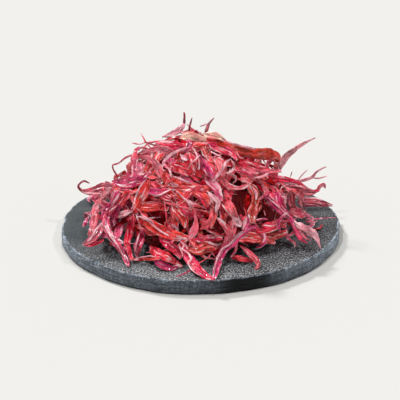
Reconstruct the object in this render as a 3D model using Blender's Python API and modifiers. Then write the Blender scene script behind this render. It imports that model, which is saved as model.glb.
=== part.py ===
"""A heap of dried funori, a red seaweed, on a round slate plate.

The fronds are laid one after another over a mound, as chart points on it and heights over it, so that each
one lies over those below it and none crosses another. The heart of the heap is one body: a turned core and
the strands that are stuck to it. Every frond over the heart is a body of its own.

The origin is the middle of the plate's underside, +Z is up, and the heap is seen from -Y. The layout is in
millimetres and the meshes are in metres.
"""

import math
import random

import bmesh
import bpy
import mathutils
import numpy as np

# Driving sizes in millimetres
PLATE_RADIUS = 61.3
PLATE_THICKNESS = 6.0
MILLIMETRE = 0.001

# The mound that the fronds are laid on: its outline, from the apex down and out over the plate
DOME_ARC = 35.0
STEEP_ARC = 8.0
FOOT_ARC = 25.0
STEEPEST = math.radians(55)
ARC_STEP = 0.25
ARC_END = 96.0

# How fronds lie
STEP = 0.95                 # between the points of a path
STEPS_PER_KNOT = 6          # a knot is where a frond's section is given
KNOT_GAP = STEP * STEPS_PER_KNOT
CLEARANCE = 0.42            # between one frond and the next
SUNK = 0.70                 # how deep the heart's strands sink into what they lie on
SPUR_LENGTH = (4.0, 9.0)
SPUR_HALF_WIDTH = 0.62
SPUR_TRIES = 5
SAMPLE_GAP = 1.1            # between the sample points of what is laid
SAMPLE_REACH = 0.85
STIFFNESS = 3
RAISES = 12
ENOUGH = 0.03
PLATE_GAP = 0.35            # between a frond and the plate
REACH_LIMIT = 47.0          # from the plate's axis

# The heap
HEART_STRANDS = 36
HEART_REACH = 38.0          # along the mound, from its apex, to where the heart's strands start
GROWN_FRONDS = 26
CANDIDATES = 4
HIGHEST_CLIMB = 12.0
GROWN_REACH = 50.0
GROWN_BACKWARD = 7.0        # because most of the traced fronds lie in front
LIFT = 3.0                  # the most that a tip stands off
SPURS = 1
SEED = 7
SPARED = ("frond_10", "frond_19", "frond_21", "frond_22", "frond_24")

# The plate
PLATE_SIDES = 72
PLATE_BEVEL = 0.5
HEWN_WAVES = ((3, 0.35, 0.4), (7, 0.22, 1.9), (17, 0.12, 0.7), (31, 0.08, 2.2))    # number, depth, phase
CHIP_AZIMUTH = math.radians(146)    # where the rim is broken nearly straight
CHIP_DEPTH = 1.0
CHIP_SPREAD = 0.16

# The heart's core
CORE_ARC = 42.0             # along the mound, down to where the core drops straight to its foot
CORE_RINGS = 11
CORE_SIDES = 40
RELIEF = 2.2                # between the core's folds

# Sections: places across the width and the thickness, in parts of each
BROAD = ((1, 0), (0.5, 1), (-0.5, 1), (-1, 0), (-0.5, -1), (0.5, -1))
NARROW = ((1, 0), (0, 1), (-1, 0), (0, -1))
SLENDER = ((1, -0.6), (0, 1), (-1, -0.6))
BROAD_FROM = 1.6            # half width

# Colour, roughness
FINISHES = {
    "slate": ((0.115, 0.122, 0.130), 0.62),
    "crimson": ((0.450, 0.012, 0.030), 0.30),
    "scarlet": ((0.620, 0.045, 0.025), 0.30),
    "magenta": ((0.430, 0.020, 0.150), 0.30),
    "mauve": ((0.360, 0.060, 0.160), 0.34),
    "rose": ((0.640, 0.160, 0.190), 0.34),
}


def mound_outline():
    """Arc length from the apex, radius, height over the plate and slope along the mound's outline."""
    arc = np.arange(0.0, ARC_END, ARC_STEP)
    rise = np.clip(arc / DOME_ARC, 0, 1)
    fall = np.clip((arc - DOME_ARC - STEEP_ARC) / FOOT_ARC, 0, 1)
    slope = STEEPEST * (rise - fall * fall * (3 - 2 * fall))
    radius = (np.cumsum(np.cos(slope)) - math.cos(slope[0])) * ARC_STEP
    drop = np.cumsum(np.sin(slope)) * ARC_STEP
    return arc, radius, drop[-1] - drop, slope


ARC, RADIUS, HEIGHT, SLOPE = mound_outline()


def ground(chart):
    """The mound's points and outward normals at chart points. A chart point is flat and polar: its distance
    from the chart's origin is the arc length from the apex, and its direction is the azimuth."""
    arc = np.hypot(chart[:, 0], chart[:, 1])
    out = chart / np.maximum(arc, 1e-9)[:, None]
    radius, height, slope = (np.interp(arc, ARC, column) for column in (RADIUS, HEIGHT, SLOPE))
    feet = np.column_stack([out * radius[:, None], height])
    normals = np.column_stack([out * np.sin(slope)[:, None], np.cos(slope)])
    return feet, normals


def charted(points):
    """The chart points under points in space, and their heights over the mound."""
    across = np.hypot(points[:, 0], points[:, 1])
    aside = across[:, None] - RADIUS
    above = points[:, 2][:, None] - HEIGHT
    nearest = np.argmin(aside * aside + above * above, axis=1)
    rows = np.arange(len(points))
    slope = SLOPE[nearest]
    along = aside[rows, nearest] * np.cos(slope) - above[rows, nearest] * np.sin(slope)
    height = aside[rows, nearest] * np.sin(slope) + above[rows, nearest] * np.cos(slope)
    arc = np.maximum(ARC[nearest] + along, 0.0)
    out = points[:, :2] / np.maximum(across, 1e-9)[:, None]
    return out * arc[:, None], height


def walk(rng, start, heading, length, curl, wander, half_width):
    """A path over the mound, as chart points STEP apart and the heading at each. It keeps turning by curl
    and wanders, both in degrees a millimetre, and turns back before the plate's rim."""
    x, y = start
    sway = 0.0
    points, headings = [(x, y)], [heading]
    for _ in range(max(STEPS_PER_KNOT, round(length / KNOT_GAP) * STEPS_PER_KNOT)):
        arc = math.hypot(x, y)
        radius = float(np.interp(arc, ARC, RADIUS))
        azimuth = math.atan2(y, x)
        stretch = arc / radius if radius > 1 else 1.0
        outward = math.cos(heading - azimuth) * STEP
        around = math.sin(heading - azimuth) * STEP * stretch
        x += outward * math.cos(azimuth) - around * math.sin(azimuth)
        y += outward * math.sin(azimuth) + around * math.cos(azimuth)
        sway = 0.82 * sway + wander * rng.gauss(0, 1)
        turn = math.radians(curl + sway) * STEP
        if radius > REACH_LIMIT and outward > 0:
            turn += math.copysign(0.2, math.sin(heading - azimuth))
        sharpest = STEP / (1.5 + 2.0 * half_width)
        heading += min(max(turn, -sharpest), sharpest)
        points.append((x, y))
        headings.append(heading)
    return points, headings


class Frond:
    """Knots in the chart, their heights over the mound, and the branches that join them."""

    def __init__(self, name, colour):
        self.name, self.colour = name, colour
        self.chart, self.height, self.lift = [], [], []
        self.branches = []
        self.broad = False

    def add_branch(self, chart, half_width, twist=(0.0, 0.0), parent_knot=None, heights=None, lift=0.0,
                   fullness=0.0):
        """A branch over new knots, or from parent_knot over new ones, whose last knot is its tip. The tip
        stands lift higher than what the branch lies on."""
        first = len(self.chart)
        knots = list(range(first, first + len(chart)))
        self.chart += [tuple(place) for place in chart]
        self.height += [0.0] * len(chart) if heights is None else list(heights)
        self.lift += [lift * max(0.0, 3 - len(chart) + i) ** 2 / 4 for i in range(len(chart))]
        if parent_knot is not None:
            knots.insert(0, parent_knot)
        self.branches.append(Branch(knots, half_width, twist, parent_knot is not None, fullness))
        return self.branches[-1]


class Branch:
    """One unforked stretch of a frond: its knots, and its half width, half thickness and twist at each. Its
    fullness runs from 0, a flat strap, to 1, a round tube."""

    def __init__(self, knots, half_width, twist, forked, fullness):
        self.knots, self.forked, self.widest = knots, forked, half_width
        share = np.linspace(0, 1, len(knots))
        swell = 0.80 + 0.32 * np.sin(math.pi * share ** 0.8)
        taper = np.clip((1 - share) / 0.40, 0, 1) ** 0.75
        start = 0.75 if forked else 0.45
        root = start + (1 - start) * np.clip(share / 0.2, 0, 1)
        self.half_width = np.maximum(half_width * swell * taper * root, 0.16)
        flat = min(0.32 + 0.12 * half_width, 0.9 * half_width)
        thick = flat + (0.9 * half_width - flat) * fullness
        self.half_thick = np.maximum(np.minimum(thick * taper ** 0.5, 0.95 * self.half_width), 0.14)
        self.twist = twist[0] + (twist[1] - twist[0]) * share


def placed(frond):
    """The frond's knots in space, over the mound, and the mound's normals there."""
    feet, normals = ground(np.array(frond.chart))
    return feet + normals * np.array(frond.height)[:, None], normals


def sections(frond, branch, points, normals):
    """At each knot of a branch: its place, and the unit vectors along its width and its thickness."""
    path = points[branch.knots]
    tangent = np.gradient(path, axis=0)
    tangent /= np.linalg.norm(tangent, axis=1)[:, None]
    side = np.empty_like(path)
    before = None
    for i, along in enumerate(tangent):
        across = np.cross(along, normals[branch.knots[i]])
        if np.linalg.norm(across) < 0.35:
            across = before if before is not None else np.cross(along, (0.3, 0.8, 0.5))
        across = across - along * np.dot(across, along)
        before = across / np.linalg.norm(across)
        side[i] = before
    over = np.cross(side, tangent)
    turn = branch.twist[:, None]
    return path, side * np.cos(turn) + over * np.sin(turn), over * np.cos(turn) - side * np.sin(turn)


def samples(frond, branches=None):
    """Points through the frond's branches, or some of them, with the local half thickness at each, and for
    each the two knots that it lies between and its share of the way."""
    points, normals = placed(frond)
    spots, radii, knots, shares = [], [], [], []
    for branch in branches or frond.branches:
        path, side, _ = sections(frond, branch, points, normals)
        for i in range(len(path) - 1):
            count = max(2, math.ceil(np.linalg.norm(path[i + 1] - path[i]) / SAMPLE_GAP))
            for share in (np.arange(count) + 0.5) / count:
                width = branch.half_width[i] * (1 - share) + branch.half_width[i + 1] * share
                thick = branch.half_thick[i] * (1 - share) + branch.half_thick[i + 1] * share
                middle = path[i] * (1 - share) + path[i + 1] * share
                across = side[i] * (1 - share) + side[i + 1] * share
                rows = 1 + 2 * math.ceil(max(width - 0.45, 0) / SAMPLE_GAP)
                for place in np.linspace(-1, 1, rows) if rows > 1 else (0.0,):
                    spots.append(middle + across * width * place)
                    radii.append(thick * (1 - 0.45 * abs(place)) if rows > 1 else max(thick, 0.8 * width))
                    knots.append((branch.knots[i], branch.knots[i + 1]))
                    shares.append(share)
    return np.array(spots), np.array(radii), np.array(knots), np.array(shares)


class Laid:
    """Sample points of what is already laid, with their radii and owners, the mound's points under them and
    their heights over it."""

    def __init__(self):
        self.spots, self.feet = np.zeros((0, 3)), np.zeros((0, 3))
        self.radii, self.middles, self.owners = np.zeros(0), np.zeros(0), np.zeros(0, int)

    def add(self, frond, owner, branches=None):
        spots, radii, _, _ = samples(frond, branches)
        chart, height = charted(spots)
        self.spots = np.vstack([self.spots, spots])
        self.feet = np.vstack([self.feet, ground(chart)[0]])
        self.radii = np.concatenate([self.radii, radii])
        self.middles = np.concatenate([self.middles, height])
        self.owners = np.concatenate([self.owners, np.full(len(spots), owner)])

    def top_near(self, feet, reach, below=None):
        """The highest upper side within reach of each foot, and 0 where there is none. Where below is
        given, what lies wholly above that height doesn't count."""
        low, high = feet.min(0) - np.max(reach), feet.max(0) + np.max(reach)
        near = np.all((self.feet > low) & (self.feet < high), axis=1)
        if not near.any():
            return np.zeros(len(feet))
        there, middles, radii = self.feet[near], self.middles[near], self.radii[near]
        apart = (feet ** 2).sum(1)[:, None] + (there ** 2).sum(1) - 2 * feet @ there.T
        counts = apart < (np.zeros(len(feet)) + reach)[:, None] ** 2
        if below is not None:
            counts &= (middles - radii) < below[:, None]
        return np.where(counts, middles + radii, 0.0).max(1)

    def is_clear(self, spots, radii, owner, margin):
        """Whether balls at these spots stay margin away from every sample that isn't the owner's."""
        low, high = spots.min(0) - 4, spots.max(0) + 4
        near = np.all((self.spots > low) & (self.spots < high), axis=1) & (self.owners != owner)
        if not near.any():
            return True
        apart = np.linalg.norm(spots[:, None] - self.spots[near], axis=2)
        return bool((apart - radii[:, None] - self.radii[near] > margin).all())


def settle(frond, laid, clearance, passes_under=False):
    """Raises the frond's knots until it lies over everything laid before it and clear of the plate, and
    bridges narrow dips. One that passes under only clears what its own height meets. Returns what it
    still lacks."""
    given = np.array(frond.height)
    raised = np.zeros(len(given))
    for branch in frond.branches:
        feet, _ = ground(np.array([frond.chart[k] for k in branch.knots]))
        lean = np.abs(np.sin(branch.twist))
        stand = branch.half_thick + (branch.half_width - branch.half_thick) * lean
        below = given[branch.knots] + stand + clearance if passes_under else None
        floor = laid.top_near(feet, 0.6 * branch.half_width + 0.8, below) + stand + clearance
        np.maximum.at(raised, branch.knots, floor - given[branch.knots])
    raised += frond.lift
    for _ in range(STIFFNESS):
        for branch in frond.branches:
            for before, knot, after in zip(branch.knots, branch.knots[1:], branch.knots[2:]):
                raised[knot] = max(raised[knot], (raised[before] + 2 * raised[knot] + raised[after]) / 4)
    for _ in range(RAISES):
        frond.height = list(given + raised)
        spots, radii, knots, _ = samples(frond)
        chart, height = charted(spots)
        below = height + radii + clearance if passes_under else None
        lack = laid.top_near(ground(chart)[0], SAMPLE_REACH, below) + clearance + radii - height
        lack = np.maximum(lack, PLATE_GAP + radii - spots[:, 2])
        if lack.max() < ENOUGH:
            break
        more = np.zeros(len(given))
        for end in (0, 1):
            np.maximum.at(more, knots[:, end], np.maximum(lack, 0))
        raised += more
    return float(lack.max())


def smooth_line(points):
    """Points KNOT_GAP apart along a smooth curve through the given ones."""
    given = np.array(points, float)
    padded = np.vstack([2 * given[0] - given[1], given, 2 * given[-1] - given[-2]])
    share = np.linspace(0, 1, 12, endpoint=False)[:, None]
    dense = []
    for a, b, c, d in zip(padded, padded[1:], padded[2:], padded[3:]):
        dense.append(b + (c - a) / 2 * share + (a - 2.5 * b + 2 * c - d / 2) * share ** 2
                     + (1.5 * b - a / 2 - 1.5 * c + d / 2) * share ** 3)
    dense = np.vstack(dense + [given[-1:]])
    run = np.concatenate([[0], np.cumsum(np.linalg.norm(np.diff(dense, axis=0), axis=1))])
    even = np.linspace(0, run[-1], max(2, round(run[-1] / KNOT_GAP)) + 1)
    return np.column_stack([np.interp(even, run, column) for column in dense.T])


def traced(name, colour, half_width, line, forks=(), twist=(0.0, 0.0), fullness=0.0):
    """A frond along a smooth curve through points of the plate's frame. Each fork is a line that starts at
    the nearest knot of the main axis, and its half width."""
    frond = Frond(name, colour)
    frond.broad = True
    for points, width in [(line, half_width), *forks]:
        run = smooth_line(points) - (0, 0, PLATE_THICKNESS)
        parent = None
        if frond.branches:
            main = frond.branches[0].knots[:-1]
            parent = main[int(np.argmin(np.linalg.norm(placed(frond)[0][main] - run[0], axis=1)))]
            run = run[1:]
        chart, heights = charted(run)
        frond.add_branch(chart, width, twist, parent, heights, fullness=fullness)
    return frond


def grown(rng, name, colour, start, heading, length, half_width, forks, lift):
    """A frond that lies over the mound: a main axis that wanders, and forks to alternate sides."""
    frond = Frond(name, colour)
    curl = rng.uniform(-2.2, 2.2)
    path, headings = walk(rng, start, heading, length, curl, 1.6, half_width)
    twist = rng.uniform(-0.5, 0.5)
    twists = twist, twist + rng.uniform(-0.8, 0.8)
    main = frond.add_branch(path[::STEPS_PER_KNOT], half_width, twists, lift=lift * rng.random())
    last = len(main.knots) - 2
    spread = max(1.0, (last - 1) / max(forks, 1))
    side = rng.choice((-1, 1))
    for i in range(forks):
        at = min(last, 1 + int(spread * (i + rng.uniform(0.2, 0.9))))
        step = at * STEPS_PER_KNOT
        fork(rng, frond, main, at, path[step], headings[step], side, lift, True)
        side = -side
    return frond


def fork(rng, frond, parent, at, start, heading, side, lift, again):
    """A side branch from one of the parent's knots, which may fork again."""
    bend = side * rng.uniform(0.45, 1.0)
    length = KNOT_GAP * rng.choice((2, 3, 3, 4))
    half_width = 0.82 * min(parent.half_width[at] * 1.05, parent.widest)
    half_width = max(half_width, 0.45)
    path, headings = walk(rng, start, heading + bend, length, -side * rng.uniform(0, 3.0), 1.8, half_width)
    twists = parent.twist[at], parent.twist[at] + rng.uniform(-0.6, 0.6)
    branch = frond.add_branch(
        path[STEPS_PER_KNOT::STEPS_PER_KNOT], half_width, twists, parent.knots[at], lift=lift * rng.random()
    )
    if again and len(branch.knots) > 3 and rng.random() < 0.55:
        fork(rng, frond, branch, 1, path[STEPS_PER_KNOT], headings[STEPS_PER_KNOT], -side, lift, False)


def spread_points(rng, count, reach):
    """Chart points spread evenly over the mound in a spiral, each moved a little."""
    golden = math.pi * (3 - math.sqrt(5))
    found = []
    for i in range(count):
        arc = reach * math.sqrt((i + 0.5) / count)
        azimuth = i * golden + rng.uniform(-0.4, 0.4)
        found.append((arc * math.cos(azimuth), arc * math.sin(azimuth)))
    return found


def add_spurs(rng, frond, owner, laid, count):
    """Short pointed side branches that stand out of a laid frond, wherever they clear the others."""
    points, normals = placed(frond)
    for _ in range(count * SPUR_TRIES):
        branch = rng.choice(frond.branches)
        at = rng.randrange(0, len(branch.knots) - 1)
        length = rng.uniform(*SPUR_LENGTH)
        half_width = min(SPUR_HALF_WIDTH, 0.62 * branch.half_width[at])
        _, side, _ = sections(frond, branch, points, normals)
        knot = branch.knots[at]
        along = points[branch.knots[at + 1]] - points[knot]
        along /= np.linalg.norm(along)
        out = normals[knot] * rng.uniform(0.25, 1.0)
        out += side[at] * rng.choice((-1, 1)) * rng.uniform(0.4, 1.0)
        out += along * rng.uniform(-0.2, 0.7)
        out /= np.linalg.norm(out)
        bend = normals[knot] * rng.uniform(-0.15, 0.35) + along * rng.uniform(-0.3, 0.3)
        share = np.array([0.5, 1.0])[:, None]
        run = points[knot] + (out * share + bend * share ** 2) * length
        probe = points[knot] + (out * np.linspace(0.2, 1, 6)[:, None]
                                + bend * np.linspace(0.2, 1, 6)[:, None] ** 2) * length
        if not laid.is_clear(probe, np.full(6, half_width), owner, CLEARANCE) or probe[:, 2].min() < 1:
            continue
        chart, heights = charted(run)
        spur = frond.add_branch(chart, half_width, (0, 0), knot, heights)
        laid.add(frond, owner, [spur])
        points, normals = placed(frond)
        count -= 1
        if count == 0:
            return


def fronds_on_the_plate():
    """The straps, threads and bunches whose ends lie on the slate, from left to right."""
    return [
        traced("strand_left_down", "magenta", 1.8,
               [(-30, -12, 26), (-38, -8, 20), (-43, -10, 16), (-45, -15, 10), (-48, -24, 7)]),
        traced("bunch_left", "crimson", 1.6,
               [(-31, -21, 14), (-37, -24, 10), (-43, -27, 8), (-49, -26, 7)],
               [([(-40, -25, 9), (-44, -22, 9), (-48, -20, 8)], 0.9)]),
        traced("strap_left_long", "mauve", 2.1,
               [(-30, -17, 24), (-35, -16, 18), (-38, -18, 13), (-36, -27, 10), (-31, -38, 8),
                (-27, -47, 7)]),
        traced("strap_left_inner", "crimson", 1.9,
               [(-20, -18, 33), (-24, -22, 26), (-27, -24, 18), (-29, -28, 12), (-29, -37, 8),
                (-26, -45, 7)]),
        traced("strap_left_short", "rose", 1.9,
               [(-18, -29, 23), (-21, -31, 17), (-23, -33, 12), (-25, -39, 7)]),
        traced("bunch_front", "crimson", 1.7,
               [(-21, -31, 16), (-19, -37, 11), (-16, -43, 8), (-12, -48, 7)],
               [([(-16, -42, 9), (-11, -42, 9), (-7, -43, 8)], 1.1)]),
        traced("thread_front", "magenta", 0.6, [(-2, -45, 9), (-5, -52, 7), (-9, -56, 7)]),
        traced("strap_front", "crimson", 2.1,
               [(-11, -35, 18), (-9, -38, 14), (-6, -44, 10), (-2, -52, 8), (3, -58, 7)]),
        traced("strap_front_right", "magenta", 1.8,
               [(24, -27, 21), (19, -31, 18), (13, -36, 15), (9, -41, 11), (7, -49, 8), (5, -57, 7)]),
        traced("claw_front_right", "crimson", 1.7,
               [(11, -37, 13), (16, -40, 9), (21, -41, 8), (23, -46, 8), (22, -50, 7)],
               [([(15, -40, 10), (13, -43, 8), (12, -46, 7)], 0.8)]),
        traced("sac_right", "rose", 2.7,
               [(30, -20, 19), (36, -20, 14), (41, -23, 12), (45, -27, 12), (48, -30, 10), (50, -32, 8)],
               [([(40, -22, 13), (40, -27, 10), (42, -30, 8)], 1.0)], fullness=0.7),
        traced("thread_right", "magenta", 0.6, [(42, -8, 9), (48, -5, 7), (57, 0, 7)]),
        traced("leaf_back_right", "crimson", 1.7, [(40, 5, 15), (46, 11, 10), (51, 16, 8), (57, 18, 8)]),
    ]


def fronds_standing_out():
    """The ends that stand out of the heap, from left to right."""
    return [
        traced("hook_left", "mauve", 2.3,
               [(-21, 0, 28), (-30, 2, 25), (-39, 4, 21), (-46, 4, 18), (-52, 4, 18), (-54, 4, 21),
                (-50, 4, 23)]),
        traced("loop_upper_left", "mauve", 1.3,
               [(-10, 2, 39), (-21, 4, 37), (-31, 4, 35), (-36, 4, 32), (-38, 2, 28), (-37, 0, 24)],
               [([(-26, 4, 36), (-28, 3, 31), (-29, 0, 27)], 0.8)]),
        traced("twig_upper_left", "crimson", 0.9,
               [(-6, -4, 38), (-14, -2, 40), (-20, 0, 41), (-26, 2, 41), (-30, 4, 40)]),
        traced("spike_top_left", "mauve", 1.3,
               [(-16, 0, 41), (-11, 2, 44), (-8, 3, 47), (-7, 4, 54)]),
        traced("spike_top_middle", "rose", 0.8, [(-3, -4, 40), (-5, 0, 42), (-5, 3, 45), (-4, 5, 50)]),
        traced("fork_top", "rose", 1.1, [(0, -7, 39), (2, -3, 43), (3, 0, 47), (4, 0, 50), (6, 0, 53)],
               [([(4, 0, 50), (2, 0, 49), (0, 0, 48)], 0.6)]),
        traced("tube_top_right", "crimson", 2.3,
               [(5, 4, 42), (14, 3, 41), (24, 2, 39), (31, 1, 37), (35, -1, 35), (35, -4, 32)],
               fullness=0.8),
        traced("spire_right", "rose", 1.7,
               [(25, 1, 25), (30, 3, 27), (35, 6, 33), (42, 8, 37), (50, 10, 40)]),
        traced("twig_right", "rose", 1.2,
               [(25, 0, 29), (35, 2, 25), (41, 3, 24), (47, 4, 25), (55, 5, 29)],
               [([(47, 4, 25), (51, 4, 24), (55, 4, 25)], 0.7),
                ([(41, 3, 24), (44, 4, 26), (47, 4, 29)], 0.6)]),
        traced("leaf_right_curled", "mauve", 2.4,
               [(23, -8, 28), (32, -8, 26), (40, -8, 24), (47, -8, 23), (51, -8, 24), (53, -9, 27)],
               fullness=0.2),
    ]


def fronds_on_the_front():
    """The broad bands and threads that lie uppermost on the heap's front."""
    return [
        traced("leaf_left_low", "scarlet", 1.9,
               [(-25, -29, 15), (-16, -35, 14), (-10, -39, 13), (-3, -40, 13)]),
        traced("bowl_right", "scarlet", 2.0,
               [(1, -37, 15), (9, -38, 17), (16, -36, 17), (23, -32, 14), (30, -30, 10)]),
        traced("band_centre", "scarlet", 2.2,
               [(-17, -16, 36), (-14, -22, 35), (-9, -27, 32), (-2, -29, 32), (6, -29, 31)],
               [([(-9, -27, 32), (-7, -31, 29), (-7, -34, 25)], 1.4)]),
        traced("band_middle_right", "crimson", 2.2,
               [(9, -26, 33), (13, -31, 27), (16, -34, 20), (18, -35, 14)]),
        traced("curl_right", "scarlet", 1.9,
               [(13, -17, 37), (19, -22, 31), (22, -24, 27), (22, -27, 22), (20, -30, 17), (23, -31, 14)]),
        traced("star_centre", "magenta", 1.3,
               [(-17, -6, 41), (-11, -18, 39), (-6, -26, 36), (-1, -31, 32), (2, -33, 28)],
               [([(-6, -26, 36), (0, -27, 36), (6, -24, 37)], 0.9), ([(-6, -26, 36), (-8, -29, 31)], 0.8)]),
        traced("thread_across", "rose", 0.7,
               [(-30, -18, 25), (-25, -24, 26), (-16, -30, 27), (-6, -34, 27), (5, -36, 25),
                (10, -37, 20)]),
    ]


def colour_at(rng, place):
    """The heap is mauve and magenta at the sides, red and orange in front and palest on top."""
    if place[2] > 34:
        return rng.choice(("rose", "rose", "scarlet", "crimson"))
    if place[0] < -20:
        return rng.choice(("magenta", "mauve", "mauve", "crimson"))
    if place[0] > 24:
        return rng.choice(("magenta", "rose", "crimson", "mauve"))
    return rng.choice(("crimson", "scarlet", "crimson", "rose"))


def heart_strands(rng, laid):
    """The strands at the bottom of the heap, which cross and stick to each other and to what they cover."""
    strands = []
    for start in spread_points(rng, HEART_STRANDS, HEART_REACH):
        heading, length, half_width = rng.uniform(0, math.tau), rng.uniform(30, 44), rng.uniform(1.6, 2.4)
        strand = grown(rng, "tangle_heart", "crimson", start, heading, length, half_width, 0, 0)
        settle(strand, laid, -SUNK)
        laid.add(strand, 0)
        strands.append(strand)
    return strands


def easiest_frond(rng, laid, number, start):
    """The frond, of a few that could grow from a place, that has to climb least over what is laid, or none
    where all of them climb too high."""
    best = None
    for _ in range(CANDIDATES):
        heading, length, half_width = rng.uniform(0, math.tau), rng.uniform(34, 50), rng.uniform(1.2, 2.1)
        forks = rng.choice((2, 3, 3))
        frond = grown(rng, f"frond_{number:02d}", "", start, heading, length, half_width, forks, LIFT)
        lack = settle(frond, laid, CLEARANCE, passes_under=True)
        climb = max(frond.height) + 10 * max(lack - ENOUGH, 0)
        if best is None or climb < best[0]:
            best = climb, frond
    climb, frond = best
    frond.colour = colour_at(rng, placed(frond)[0].mean(0))
    return frond if climb < HIGHEST_CLIMB else None


def tangle():
    """The heap: the heart's strands, then the traced fronds, then those that fill in under and over them,
    and last the spurs. The spared ones, which would stand out of the heap's outline, only make room."""
    rng = random.Random(SEED)
    laid = Laid()
    strands = heart_strands(rng, laid)
    fronds = []
    for frond in fronds_on_the_plate() + fronds_standing_out() + fronds_on_the_front():
        settle(frond, laid, CLEARANCE, passes_under=True)
        fronds.append(frond)
        laid.add(frond, len(fronds))
    for number, (x, y) in enumerate(spread_points(rng, GROWN_FRONDS, GROWN_REACH), 1):
        frond = easiest_frond(rng, laid, number, (x, y + GROWN_BACKWARD))
        if frond:
            fronds.append(frond)
            laid.add(frond, len(fronds))
    for owner, frond in enumerate(fronds, 1):
        add_spurs(rng, frond, owner, laid, SPURS)
    return strands, [frond for frond in fronds if frond.name not in SPARED]


def remove_everything():
    for existing in list(bpy.data.objects):
        bpy.data.objects.remove(existing, do_unlink=True)


def finish(name):
    """A Principled material in one of the finishes."""
    if name in bpy.data.materials:
        return bpy.data.materials[name]
    material = bpy.data.materials.new(name)
    material.use_nodes = True
    shader = material.node_tree.nodes["Principled BSDF"]
    colour, roughness = FINISHES[name]
    shader.inputs["Base Color"].default_value = (*colour, 1)
    shader.inputs["Roughness"].default_value = roughness
    shader.inputs["Metallic"].default_value = 0.0
    return material


def add_object(name, mesh, collection):
    added = bpy.data.objects.new(name, mesh)
    collection.objects.link(added)
    return added


def evaluated_mesh(thing, name):
    """The mesh of an object as its modifiers leave it."""
    depsgraph = bpy.context.evaluated_depsgraph_get()
    depsgraph.update()
    mesh = bpy.data.meshes.new_from_object(thing.evaluated_get(depsgraph))
    mesh.name = name
    return mesh


def in_metres(spot):
    """A point of the layout, whose heights start at the plate's top, in the part's frame."""
    return (spot + (0, 0, PLATE_THICKNESS)) * MILLIMETRE


def section_of(frond, branch):
    """The corners of a branch's section: six if it is broad, three if it is a spur, else four."""
    if len(branch.knots) == 3 and branch.forked and branch.widest <= SPUR_HALF_WIDTH:
        return SLENDER
    return BROAD if frond.broad and branch.widest >= BROAD_FROM else NARROW


def lofted(corners, branch, path, side, over):
    """A closed solid through a branch's sections, from a capped root to a pointed tip."""
    loft = bmesh.new()
    rings = []
    for i in range(len(path) - 1):
        across, through = side[i] * branch.half_width[i], over[i] * branch.half_thick[i]
        rings.append([loft.verts.new(in_metres(path[i] + across * u + through * v)) for u, v in corners])
    tip = loft.verts.new(in_metres(path[-1]))
    loft.faces.new(rings[0][::-1])
    count = len(corners)
    for near, far in zip(rings, rings[1:]):
        for a in range(count):
            b = (a + 1) % count
            if corners[a][0] >= corners[b][0]:
                split = ((near[a], near[b], far[b]), (near[a], far[b], far[a]))
            else:
                split = ((near[a], near[b], far[a]), (near[b], far[b], far[a]))
            for face in split:
                loft.faces.new(face)
    for a in range(count):
        loft.faces.new((rings[-1][a], rings[-1][(a + 1) % count], tip))
    bmesh.ops.triangulate(loft, faces=[face for face in loft.faces if len(face.verts) > 3])
    bmesh.ops.recalc_face_normals(loft, faces=loft.faces)
    if loft.calc_volume(signed=True) < 0:
        bmesh.ops.reverse_faces(loft, faces=loft.faces)
    mesh = bpy.data.meshes.new("branch")
    loft.to_mesh(mesh)
    loft.free()
    return mesh


def frond_meshes(frond):
    """One closed mesh for each branch of a frond."""
    points, normals = placed(frond)
    return [
        lofted(section_of(frond, branch), branch, *sections(frond, branch, points, normals))
        for branch in frond.branches
    ]


def keep_largest_island(mesh):
    """Drops loose scraps and fills sealed hollows: only the faces that join edge to edge stay."""
    shape = bmesh.new()
    shape.from_mesh(mesh)
    unseen, islands = set(shape.faces), []
    while unseen:
        front = [unseen.pop()]
        island = list(front)
        while front:
            for edge in front.pop().edges:
                for face in edge.link_faces:
                    if face in unseen:
                        unseen.remove(face)
                        front.append(face)
                        island.append(face)
        islands.append(island)
    islands.sort(key=len)
    for island in islands[:-1]:
        bmesh.ops.delete(shape, geom=island, context="FACES")
    shape.to_mesh(mesh)
    shape.free()


def joined(name, meshes):
    """One mesh from several that overlap."""
    if len(meshes) == 1:
        meshes[0].name = name
        return meshes[0]
    scene_collection = bpy.context.scene.collection
    base = add_object(f"{name}_base", meshes[0], scene_collection)
    rest = bpy.data.collections.new(f"{name}_rest")
    scene_collection.children.link(rest)
    for mesh in meshes[1:]:
        add_object(f"{name}_piece", mesh, rest)
    union = base.modifiers.new("union", "BOOLEAN")
    union.operation = "UNION"
    union.operand_type = "COLLECTION"
    union.collection = rest
    union.solver = "MANIFOLD"
    mesh = evaluated_mesh(base, name)
    for piece in [base, *rest.objects]:
        bpy.data.objects.remove(piece, do_unlink=True)
    bpy.data.collections.remove(rest)
    keep_largest_island(mesh)
    return mesh


def fold(mesh):
    """Sinks the core's surface between folds that cross it in three directions."""
    spots = np.array([vert.co for vert in mesh.vertices]) / MILLIMETRE - (0, 0, PLATE_THICKNESS)
    chart, _ = charted(spots)
    x, y = chart.T
    folds = np.abs([np.sin(0.33 * x + 0.14 * y), np.sin(0.31 * y - 0.1 * x + 1)]).max(axis=0)
    _, normals = ground(chart)
    sunk = np.where(spots[:, 2] > PLATE_GAP + 0.1, RELIEF * (1 - folds), 0)
    for vert, inward in zip(mesh.vertices, normals * sunk[:, None] * MILLIMETRE):
        vert.co -= mathutils.Vector(inward)


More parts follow.
